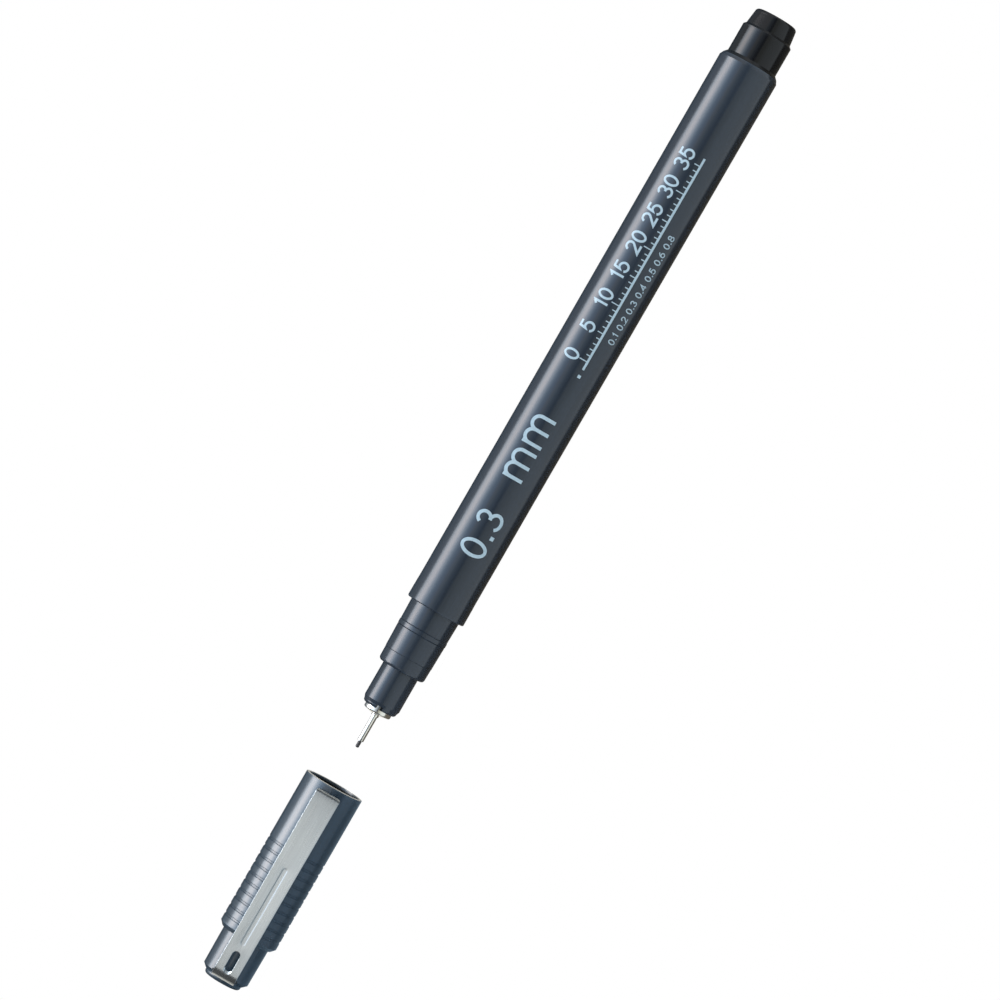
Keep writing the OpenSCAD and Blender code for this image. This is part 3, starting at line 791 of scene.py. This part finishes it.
class FINELINER_OT_dress_clip(bpy.types.Operator):
    """Folds the clip again with rounded edges and a soft channel, in brushed steel"""

    bl_idname = "fineliner.dress_clip"
    bl_label = "Dress clip"

    def execute(self, context):
        settings = context.scene.fineliner_steel
        steel = brushed_steel("Brushed steel", settings)
        dress(steel, "clip")
        mesh = clip_mesh("clip_strip", settings.edge_round / MM)
        strip = new_piece("clip_strip", mesh, steel, "clip")
        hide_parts("clip")
        return {"FINISHED"}


class FINELINER_OT_dress_ink(bpy.types.Operator):
    """Gives the ink's core, its film and the fibre rod their finishes"""

    bl_idname = "fineliner.dress_ink"
    bl_label = "Dress ink parts"

    def execute(self, context):
        dress(fibre("Inked fibre", FIBRE_COLOUR, STRAND), "relay_wick", "ink_reservoir")
        dress(thin_film("Clear film"), "reservoir_film")
        return {"FINISHED"}


def bow(x, y, rx, ry, start, end, steps=20):
    """Points on part of an ellipse, angles in degrees from the right, turning left."""
    points = []
    for step in range(steps + 1):
        angle = math.radians(start + (end - start) * step / steps)
        points.append((x + rx * math.cos(angle), y + ry * math.sin(angle)))
    return points


# Each sign has its width and its strokes, in a box of height one. A stroke that ends where it
# began is a ring.
SIGNS = {
    "0": (0.66, [bow(0.33, 0.5, 0.29, 0.5, 0, 360, 40)]),
    "1": (0.40, [[(0.04, 0.79), (0.26, 1.0), (0.26, 0.0)]]),
    "2": (0.64, [bow(0.32, 0.71, 0.28, 0.29, 170, -38) + [(0.03, 0.0), (0.62, 0.0)]]),
    "3": (
        0.64,
        [bow(0.30, 0.745, 0.24, 0.255, 158, -90), bow(0.30, 0.255, 0.30, 0.255, 90, -160)],
    ),
    "4": (0.68, [[(0.48, 0.0), (0.48, 1.0), (0.02, 0.27), (0.66, 0.27)]]),
    "5": (
        0.64,
        [[(0.57, 1.0), (0.15, 1.0), (0.08, 0.53)] + bow(0.30, 0.325, 0.30, 0.325, 128, -158)],
    ),
    "6": (
        0.66,
        [bow(0.33, 0.31, 0.29, 0.31, 0, 360, 32), bow(0.62, 0.31, 0.58, 0.69, 180, 103)],
    ),
    "8": (
        0.66,
        [bow(0.33, 0.755, 0.24, 0.245, 0, 360, 32), bow(0.33, 0.26, 0.30, 0.26, 0, 360, 32)],
    ),
    ".": (0.30, [[(0.10, 0.04), (0.20, 0.04)]]),
    "m": (
        1.06,
        [
            [(0.04, 0.0), (0.04, 0.70)],
            [(0.04, 0.40)] + bow(0.27, 0.46, 0.23, 0.24, 180, 0) + [(0.50, 0.0)],
            [(0.50, 0.40)] + bow(0.73, 0.46, 0.23, 0.24, 180, 0) + [(0.96, 0.0)],
        ],
    ),
}
SIGN_GAP = 0.16
WORD_GAP = 0.55
# Longest straight steps of a bent sign and of the ruler's line
SIGN_STEP, RULE_STEP = 0.35 * MM, 2 * MM
# Half of a point and of the ruler's dot, in widths of a stroke
POINT_HALF, DOT_HALF = 0.6, 0.7
# A sharp corner reaches out by no more than half a stroke over this
LEAST_TURN = 0.35
# A stroke whose ends are closer than this is a ring
CLOSED = 1e-7


def wrapped(x, along, height):
    """A point over the barrel, from its place along it, along its round and above it."""
    radius = barrel_radius(x)
    turn = along / radius
    reach = radius + height
    return (x, AXIS_Y - reach * math.cos(turn), AXIS_Z + reach * math.sin(turn))


def ribbon(work, points, width, settings):
    """A closed thin strip along a stroke, bent round the barrel."""
    ring = math.dist(points[0], points[-1]) < CLOSED
    if ring:
        points = points[:-1]
    count = len(points)
    top, back = settings.proud, -settings.sunk
    sections = []
    for index, point in enumerate(points):
        before = points[index - 1] if ring or index else None
        after = points[(index + 1) % count] if ring or index < count - 1 else None
        sides = []
        for start, end in ((before, point), (point, after)):
            if start is not None and end is not None:
                run = Vector(end) - Vector(start)
                sides.append(Vector((-run.y, run.x)).normalized())
        side = sum(sides, Vector((0, 0))).normalized()
        reach = width / 2 / max(LEAST_TURN, side.dot(sides[0]))
        corners = []
        for sign, height in ((1, top), (-1, top), (-1, back), (1, back)):
            place = Vector(point) + side * reach * sign
            corners.append(work.verts.new(wrapped(place.x, place.y, height)))
        sections.append(corners)
    pairs = list(zip(sections, sections[1:]))
    if ring:
        pairs.append((sections[-1], sections[0]))
    else:
        work.faces.new(sections[0][::-1])
        work.faces.new(sections[-1])
    for first, second in pairs:
        for a, b in ((0, 1), (1, 2), (2, 3), (3, 0)):
            work.faces.new((first[a], first[b], second[b], second[a]))


def dot(work, x, level, half, settings):
    """A square dot."""
    ribbon(work, [(x - half, level), (x + half, level)], 2 * half, settings)


def divided(points, step):
    """The same stroke with its long stretches cut into short ones, so that it can bend."""
    cut = [points[0]]
    for start, end in zip(points, points[1:]):
        parts = max(1, math.ceil(math.dist(start, end) / step))
        for part in range(1, parts + 1):
            cut.append(tuple(a + (b - a) * (part / parts) for a, b in zip(start, end)))
    return cut


def words(work, text, x, foot, height, width, settings):
    """Writes signs from a place on the barrel towards the tail."""
    for sign in text:
        if sign == " ":
            x += WORD_GAP * height
            continue
        wide, strokes = SIGNS[sign]
        for stroke in strokes:
            placed = [(x + a * height, foot + b * height) for a, b in stroke]
            if sign == ".":
                middle = (placed[0][0] + placed[1][0]) / 2
                dot(work, middle, placed[0][1], width * POINT_HALF, settings)
            else:
                ribbon(work, divided(placed, SIGN_STEP), width, settings)
        x += (wide + SIGN_GAP) * height


def finish_print(name, mesh, settings):
    """Inks a print's mesh and sets it on the pen."""
    ink = bpy.data.materials.get("Print ink") or print_ink("Print ink", settings)
    return new_piece(name, mesh, ink, "pen")


# Places of the print, along the barrel and along its round from the line that faces the clip's side
SIZE_X, SIZE_FOOT = RIM_X + 10.35 * MM, -2.3 * MM
UNIT_X, UNIT_FOOT = RIM_X + 23.98 * MM, -1.75 * MM
UNIT_HEIGHT = 4.9 * MM
RULE_X, RULE_END_X = RIM_X + 44.08 * MM, RIM_X + 81.88 * MM
RULE_ROUND = -1.2 * MM
ZERO_X, NUMBER_FOOT = RIM_X + 45.48 * MM, 0.55 * MM
DOT_X = RIM_X + 42.88 * MM
SMALL_X, SMALL_FOOT = RIM_X + 49.68 * MM, -3.6 * MM
LINE_WIDTHS = "0.1 0.2 0.3 0.4 0.5 0.6 0.8"
SHORT_TICK, MIDDLE_TICK, LONG_TICK = 0.75 * MM, 1.05 * MM, 1.45 * MM


class FINELINER_OT_print_size(bpy.types.Operator):
    """Prints the line width and its unit on the barrel"""

    bl_idname = "fineliner.print_size"
    bl_label = "Print size"

    def execute(self, context):
        settings = context.scene.fineliner_print
        height, stroke = settings.size_height, settings.size_stroke
        work = bmesh.new()
        words(work, "0.3", SIZE_X, SIZE_FOOT, height, stroke, settings)
        words(work, "mm", UNIT_X, UNIT_FOOT, UNIT_HEIGHT, settings.unit_stroke, settings)
        finish_print("size_marking", closed_mesh("size_marking", work), settings)
        return {"FINISHED"}


def tick_tree(settings):
    """Nodes that repeat a tick along a line bent round the barrel, and the values given to them."""
    group = bpy.data.node_groups.new("Ruler ticks", "GeometryNodeTree")
    tree = Tree(group)
    group.interface.new_socket("Geometry", in_out="OUTPUT", socket_type="NodeSocketGeometry")
    given = {
        "Count": settings.tick_count,
        "Pitch": settings.tick_pitch,
        "Tick width": settings.tick_width,
        "Short": SHORT_TICK,
        "Middle": MIDDLE_TICK,
        "Long": LONG_TICK,
        "Proud": settings.proud,
        "Sunk": settings.sunk,
    }
    values = {}
    for name, value in given.items():
        kind = "NodeSocketInt" if name == "Count" else "NodeSocketFloat"
        socket = group.interface.new_socket(name, in_out="INPUT", socket_type=kind)
        values[socket.identifier] = value
    source = tree.add("NodeGroupInput").outputs

    # One tick, flat: X along the pen, Y along the round, Z above the barrel
    thick = tree.math("ADD", source["Proud"], source["Sunk"])
    size = tree.xyz(source["Tick width"], 1.0, thick)
    corners = {"Vertices X": 2, "Vertices Y": 7, "Vertices Z": 2}
    tick = tree.add("GeometryNodeMeshCube", {**corners, "Size": size}).outputs[0]
    middle = tree.product(tree.math("SUBTRACT", source["Proud"], source["Sunk"]), 0.5)
    tick = tree.add(
        "GeometryNodeTransform", {"Geometry": tick, "Translation": tree.xyz(0.0, 0.5, middle)}
    ).outputs[0]
    row = tree.add(
        "GeometryNodeMeshLine",
        {
            "Count": source["Count"],
            "Start Location": (ZERO_X, RULE_ROUND, 0.0),
            "Offset": tree.xyz(source["Pitch"]),
        },
        mode="OFFSET",
        count_mode="TOTAL",
    ).outputs[0]

    # Every fifth tick is longer, and every tenth longest
    index = tree.add("GeometryNodeInputIndex").outputs[0]
    length = source["Short"]
    for step, shorter, longer in ((5.0, "Short", "Middle"), (10.0, "Middle", "Long")):
        every = tree.math("LESS_THAN", tree.math("MODULO", index, step), 0.5)
        more = tree.product(every, tree.math("SUBTRACT", source[longer], source[shorter]))
        length = tree.math("ADD", length, more)
    scale = tree.xyz(1.0, length, 1.0)
    placed = tree.add(
        "GeometryNodeInstanceOnPoints", {"Points": row, "Instance": tick, "Scale": scale}
    ).outputs[0]
    real = tree.add("GeometryNodeRealizeInstances", {"Geometry": placed}).outputs[0]

    along, across, height = tree.parts(tree.add("GeometryNodeInputPosition").outputs[0])
    radius = tree.span(along, GRIP_END_X, REAR_X, GRIP_R, REAR_R)
    turn = tree.math("DIVIDE", across, radius)
    reach = tree.math("ADD", radius, height)
    out = tree.product(reach, tree.math("COSINE", turn))
    up = tree.product(reach, tree.math("SINE", turn))
    bent = tree.xyz(along, tree.math("SUBTRACT", AXIS_Y, out), tree.math("ADD", AXIS_Z, up))
    wound = tree.add("GeometryNodeSetPosition", {"Geometry": real, "Position": bent}).outputs[0]
    tree.add("NodeGroupOutput", {"Geometry": wound})
    return group, values


class FINELINER_OT_print_ruler(bpy.types.Operator):
    """Prints a plain millimetre ruler and a row of line widths on the barrel"""

    bl_idname = "fineliner.print_ruler"
    bl_label = "Print ruler"

    def execute(self, context):
        settings = context.scene.fineliner_print
        work = bmesh.new()
        line = [(RULE_X, RULE_ROUND), (RULE_END_X, RULE_ROUND)]
        ribbon(work, divided(line, RULE_STEP), settings.rule_width, settings)
        dot(work, DOT_X, RULE_ROUND, settings.rule_width * DOT_HALF, settings)
        height, stroke = settings.number_height, settings.number_stroke
        for number in range(0, settings.tick_count, 5):
            text = str(number)
            wide = sum(SIGNS[sign][0] for sign in text) + SIGN_GAP * (len(text) - 1)
            start = ZERO_X + number * settings.tick_pitch - wide * height / 2
            words(work, text, start, NUMBER_FOOT, height, stroke, settings)
        height, stroke = settings.small_height, settings.small_stroke
        words(work, LINE_WIDTHS, SMALL_X, SMALL_FOOT, height, stroke, settings)
        finish_print("ruler_numbers", closed_mesh("ruler_numbers", work), settings)

        carrier = in_scene("tick_carrier", bpy.data.meshes.new("tick_carrier"))
        repeat = carrier.modifiers.new("Ticks", "NODES")
        repeat.node_group, values = tick_tree(settings)
        for identifier, value in values.items():
            repeat[identifier] = value
        graph = bpy.context.evaluated_depsgraph_get()
        mesh = bpy.data.meshes.new_from_object(carrier.evaluated_get(graph))
        bpy.data.objects.remove(carrier)
        if not mesh.polygons:
            raise RuntimeError("the ruler has no ticks")
        mesh.name = "ruler_ticks"
        finish_print("ruler_ticks", mesh, settings)
        return {"FINISHED"}


# The picture's middle on the pen, a little over its axis
AIM = Vector((0.205 * MM, AXIS_Y, AXIS_Z - 0.09 * MM))
# The camera is as low as the floor, which it sees from its edge
CAMERA = AIM + Vector((10.9 * MM, -750 * MM, 0.1 * MM - AIM.z))
PICTURE_UP = Vector((0.866, 0.0, 0.5))
SENSOR = 36 * MM
SEEN_FROM, SEEN_TO = 0.05, 20.0

# The floor, and how far from the pen its paper turns white for the camera
FLOOR_HALF = 4.0
PAPER_SPECK = 0.6 * MM
PAPER_END, WHITE_START = 4 * MM, 16 * MM
# Painted reflections: tones of the floor that only gloss shows, painted shade under the pen, then
# close in front and far in front
PEN_UNDER, PEN_CLOSE, PEN_FAR = (0.15, 0.14, 0.12, 1), (1.02, 1.1, 1.12, 1), (0.52, 0.53, 0.45, 1)
CAP_UNDER, CAP_CLOSE, CAP_FAR = (0.2, 0.28, 0.36, 1), (0.42, 0.53, 0.66, 1), (0.85, 0.88, 0.88, 1)
# A painted dark strip and a painted dark patch, both seen only in reflection
STRIP_TONE, PATCH_TONE = (0.12, 0.12, 0.11, 1), (0.03, 0.03, 0.03, 1)
# Where each tone gives way to the next: along the pen, and in front of it
BY_CAP, PAST_CAP = (-50 * MM, -46 * MM), (-90 * MM, -87.5 * MM)
PAST_CAP_SHARE = 0.03
UNDER_EDGE = (AXIS_Y - 3.25 * MM, AXIS_Y - 2.85 * MM)
PEN_FADE, CAP_FADE = (-18 * MM, -3 * MM), (-45 * MM, -25 * MM)
STRIP_START, STRIP_END = (-18 * MM, -16 * MM), (-10.5 * MM, -9.5 * MM)
PATCH_START, PATCH_END = (-52.9 * MM, -52.6 * MM), (-44 * MM, -43 * MM)
PATCH_LEAN, PATCH_FRONT = 0.085, (-6.5 * MM, -5.5 * MM)

ROOM_TINT = (0.97, 0.99, 1.0, 1)
TOP_PLACE, TOP_WIDTH, TOP_LENGTH = (0.0, -0.1, 0.55), 0.5, 0.8
# The sheen lamp: ends along the pen, distance from its axis, height as an angle and half its spread
SHEEN_FROM, SHEEN_TO = -0.2, 0.145
SHEEN_AWAY, SHEEN_TURN, SHEEN_SPREAD = 0.25, math.radians(62.5), math.radians(32.5)
# Its tones from the low edge to the high one
SHEEN_TONES = (
    (0.0, (0.01, 0.03, 0.07)),
    (0.12, (0.01, 0.045, 0.1)),
    (0.245, (0.048, 0.1, 0.17)),
    (0.36, (0.2, 0.28, 0.375)),
    (0.475, (0.47, 0.545, 0.64)),
    (0.59, (0.92, 0.91, 0.96)),
    (0.655, (0.99, 0.95, 0.97)),
    (0.72, (0.93, 0.91, 0.93)),
    (0.795, (0.785, 0.79, 0.84)),
    (0.875, (0.62, 0.675, 0.74)),
    (1.0, (0.2, 0.25, 0.3)),
)
# Cards that only gloss shows, which glow as painted reflections: their ends on the floor, their
# height, and tones from foot to top
CARD_FOOT = 0.0005
FRONT_TONES = (
    (0.2, (0.0, 0.0, 0.0)),
    (0.32, (0.16, 0.18, 0.22)),
    (0.5, (0.3, 0.36, 0.44)),
    (1.0, (0.85, 0.95, 1.0)),
)
BACK_TONES = (
    (0.03, (0.9, 0.87, 0.81)),
    (0.034, (0.04, 0.05, 0.055)),
    (0.1, (0.08, 0.10, 0.12)),
    (0.2, (0.32, 0.36, 0.40)),
    (0.36, (0.5, 0.54, 0.57)),
    (1.0, (0.64, 0.66, 0.68)),
)
LEFT_TONES = ((0.0, (0.09, 0.09, 0.09)), (1.0, (0.09, 0.09, 0.09)))
RIGHT_TONES = ((0.0, (0.06, 0.06, 0.06)), (1.0, (0.06, 0.06, 0.06)))
CARDS = (
    # One low in front and one behind paint the dark line and the dark rims, in reflection
    ("Front card", (-0.054, -0.054), (0.5, -0.054), 0.0295, FRONT_TONES),
    ("Back card", (-0.5, 0.04), (0.5, 0.04), 0.33, BACK_TONES),
    # Dark ones beside the clip's ends paint the dark bands in its bends, in reflection
    ("Left card", (-0.12, -0.096), (-0.12, 0.0025), 0.15, LEFT_TONES),
    ("Right card", (-0.047, -0.0155), (-0.047, -0.0067), 0.03, RIGHT_TONES),
)


def seen_share(tree):
    """One for rays that show the background: from the camera, in gloss and through clear things."""
    path = tree.add("ShaderNodeLightPath").outputs
    share = tree.math("ADD", path["Is Camera Ray"], path["Is Glossy Ray"])
    return tree.math("ADD", share, path["Is Transmission Ray"], clamp=True)


def floor_gloss(tree, x, y):
    """Painted reflections of the floor, seen only in gloss: light in front of the pen, and painted
    shade under it and past its cap.
    """
    ahead = tree.fall(y, *UNDER_EDGE)
    pen_front = tree.mix(tree.span(y, *PEN_FADE), PEN_FAR, PEN_CLOSE)
    cap_front = tree.mix(tree.span(y, *CAP_FADE), CAP_FAR, CAP_CLOSE)
    # A painted dark strip, which the upper wall of the clip's channel shows in reflection
    strip = tree.product(tree.span(y, *STRIP_START), tree.fall(y, *STRIP_END))
    cap_front = tree.mix(strip, cap_front, STRIP_TONE)
    pen_tone = tree.mix(ahead, PEN_UNDER, pen_front)
    cap_tone = tree.mix(ahead, CAP_UNDER, cap_front)
    tone = tree.mix(tree.fall(x, *BY_CAP), pen_tone, cap_tone)
    # A painted dark patch, seen in reflection on the cap between the clip's free end and the mouth
    leaning = tree.math("SUBTRACT", x, tree.product(y, PATCH_LEAN))
    patch = tree.product(
        tree.span(leaning, *PATCH_START), tree.fall(x, *PATCH_END), tree.fall(y, *PATCH_FRONT)
    )
    strength = tree.span(x, *PAST_CAP, PAST_CAP_SHARE, 1.0)
    return tree.glow(tree.mix(patch, tone, PATCH_TONE), strength)


def stage_sheet(name, corners, material):
    """A flat sheet that stands in the studio and isn't part of the object."""
    mesh = bpy.data.meshes.new(name)
    mesh.from_pydata(corners, [], [(0, 1, 2, 3)])
    mesh.materials.append(material)
    sheet = in_scene(name, mesh)
    return sheet


def glow_card(name, start, end, top, stops):
    """A glowing upright card that only gloss shows, a painted reflection toned by the height on it.
    """
    material, tree, place = new_material(name)
    tone = tree.ramp(tree.span(tree.parts(place)[2], 0.0, top), stops)
    tree.end(tree.glow(tone))
    corners = [(*start, CARD_FOOT), (*end, CARD_FOOT), (*end, top), (*start, top)]
    card = stage_sheet(name, corners, material)
    card.visible_camera = card.visible_diffuse = False
    card.visible_transmission = card.visible_shadow = False


def set_up(thing, place, *axes):
    """Puts a thing at a place, with its own axes along three directions."""
    turn = Matrix(axes).transposed().to_4x4()
    thing.matrix_world = Matrix.Translation(place) @ turn


def area_lamp(name, place, width, length, power):
    """A flat lamp above the pen that faces its axis, its length along the pen."""
    data = bpy.data.lights.new(name, "AREA")
    data.shape = "RECTANGLE"
    data.size = length
    data.size_y = width
    data.energy = power
    lamp = in_scene(name, data)
    back = (Vector(place) - Vector((place[0], AXIS_Y, AXIS_Z))).normalized()
    along = Vector((1.0, 0.0, 0.0))
    set_up(lamp, place, along, back.cross(along), back)
    lamp.visible_camera = False
    return lamp


class FINELINER_OT_build_studio(bpy.types.Operator):
    """Sets up the floor, the room, the lamps and the camera"""

    bl_idname = "fineliner.build_studio"
    bl_label = "Build studio"

    def execute(self, context):
        settings = context.scene.fineliner_studio
        self.floor(settings)
        self.room(context.scene, settings)
        self.lamps(settings)
        self.camera(context.scene, settings)
        return {"FINISHED"}

    def floor(self, settings):
        """A pale floor that keeps the shadow near the pen and turns white far from it."""
        material, tree, place = new_material("Pale floor")
        x, y, _ = tree.parts(place)
        past_end = tree.math("SUBTRACT", tree.math("ABSOLUTE", x), TAIL_X)
        past_end = tree.math("MAXIMUM", past_end, 0.0)
        past_mouth = tree.math("SUBTRACT", x, MOUTH_X)
        before_neck = tree.math("SUBTRACT", NECK_FRONT_X, x)
        in_gap = tree.math("MAXIMUM", tree.math("MINIMUM", past_mouth, before_neck), 0.0)
        clear = tree.math("ADD", past_end, tree.product(in_gap, 2.0))
        whiter = tree.span(tree.reach(clear, y), PAPER_END, WHITE_START, smooth=True)
        tone = (settings.floor,) * 3
        speckled = tree.mix(tree.noise(place, PAPER_SPECK), opaque(tone, 0.98), opaque(tone, 1.02))
        paper = tree.add("ShaderNodeBsdfDiffuse", {"Color": speckled}).outputs[0]
        seen = tree.blend(tree.product(seen_share(tree), whiter), paper, tree.glow(WHITE))
        # In gloss the floor shows its painted reflections instead
        glossy = tree.add("ShaderNodeLightPath").outputs["Is Glossy Ray"]
        shown = tree.blend(glossy, seen, floor_gloss(tree, x, y))
        tree.end(shown)
        far, near = FLOOR_HALF, -FLOOR_HALF
        corners = [(near, near, 0), (far, near, 0), (far, far, 0), (near, far, 0)]
        stage_sheet("floor", corners, material)

    def room(self, scene, settings):
        """Soft light from all sides; the background itself is white."""
        world = bpy.data.worlds.new("Studio room")
        scene.world = world
        world.use_nodes = True
        tree = Tree(world.node_tree)
        soft, white = (
            tree.add("ShaderNodeBackground", {"Color": colour, "Strength": strength}).outputs[0]
            for colour, strength in ((ROOM_TINT, settings.ambient), (WHITE, 1.0))
        )
        tree.end(tree.blend(seen_share(tree), soft, white), "World")

    def lamps(self, settings):
        """One soft lamp that lights, one long one that only gloss shows, and the cards that paint
        reflections.
        """
        top = area_lamp("Top lamp", TOP_PLACE, TOP_WIDTH, TOP_LENGTH, settings.top)
        top.visible_glossy = False
        place = (
            (SHEEN_FROM + SHEEN_TO) / 2,
            AXIS_Y - SHEEN_AWAY * math.cos(SHEEN_TURN),
            AXIS_Z + SHEEN_AWAY * math.sin(SHEEN_TURN),
        )
        width = 2 * SHEEN_AWAY * math.tan(SHEEN_SPREAD)
        sheen = area_lamp("Sheen lamp", place, width, SHEEN_TO - SHEEN_FROM, settings.sheen)
        sheen.visible_diffuse = False
        sheen.data.use_nodes = True
        tree = Tree(sheen.data.node_tree)
        across = tree.parts(tree.add("ShaderNodeNewGeometry").outputs["Parametric"])[1]
        tree.end(tree.glow(tree.ramp(across, SHEEN_TONES, smooth=False)), "Light")
        for card in CARDS:
            glow_card(*card)

    def camera(self, scene, settings):
        """Looks at the pen from the clip's side, turned so that the pen stands up to the right."""
        data = bpy.data.cameras.new("Camera")
        data.sensor_width = SENSOR / MM
        data.lens = settings.focal / MM
        data.clip_start, data.clip_end = SEEN_FROM, SEEN_TO
        camera = in_scene("Camera", data)
        forward = (AIM - CAMERA).normalized()
        right = forward.cross(PICTURE_UP).normalized()
        set_up(camera, CAMERA, right, right.cross(forward), -forward)
        scene.camera = camera
        scene.view_settings.view_transform = "Standard"


OPERATORS = (
    FINELINER_OT_dress_barrel,
    FINELINER_OT_dress_point,
    FINELINER_OT_dress_tail,
    FINELINER_OT_dress_cap,
    FINELINER_OT_dress_clip,
    FINELINER_OT_dress_ink,
    FINELINER_OT_print_size,
    FINELINER_OT_print_ruler,
    FINELINER_OT_build_studio,
)


class FINELINER_PT_panel(bpy.types.Panel):
    """Lists the steps and the settings in the 3D view's sidebar."""

    bl_label = "Fineliner pen"
    bl_idname = "FINELINER_PT_panel"
    bl_space_type = "VIEW_3D"
    bl_region_type = "UI"
    bl_category = "Fineliner"

    def draw(self, context):
        for operator in OPERATORS:
            self.layout.operator(operator.bl_idname)
        for name, group in GROUPS.items():
            box = self.layout.box()
            settings = getattr(context.scene, name)
            for key in group.__annotations__:
                box.prop(settings, key)


CLASSES = (*GROUPS.values(), *OPERATORS, FINELINER_PT_panel)


def register():
    """Adds the settings, the steps and the panel."""
    for kind in CLASSES:
        bpy.utils.register_class(kind)
    for name, group in GROUPS.items():
        setattr(bpy.types.Scene, name, bpy.props.PointerProperty(type=group))


def unregister():
    """Takes them out again."""
    for name in GROUPS:
        delattr(bpy.types.Scene, name)
    for kind in reversed(CLASSES):
        bpy.utils.unregister_class(kind)


def main():
    """Runs every step in order."""
    register()
    for operator in OPERATORS:
        module, name = operator.bl_idname.split(".")
        getattr(getattr(bpy.ops, module), name)()


if __name__ == "__main__":
    main()
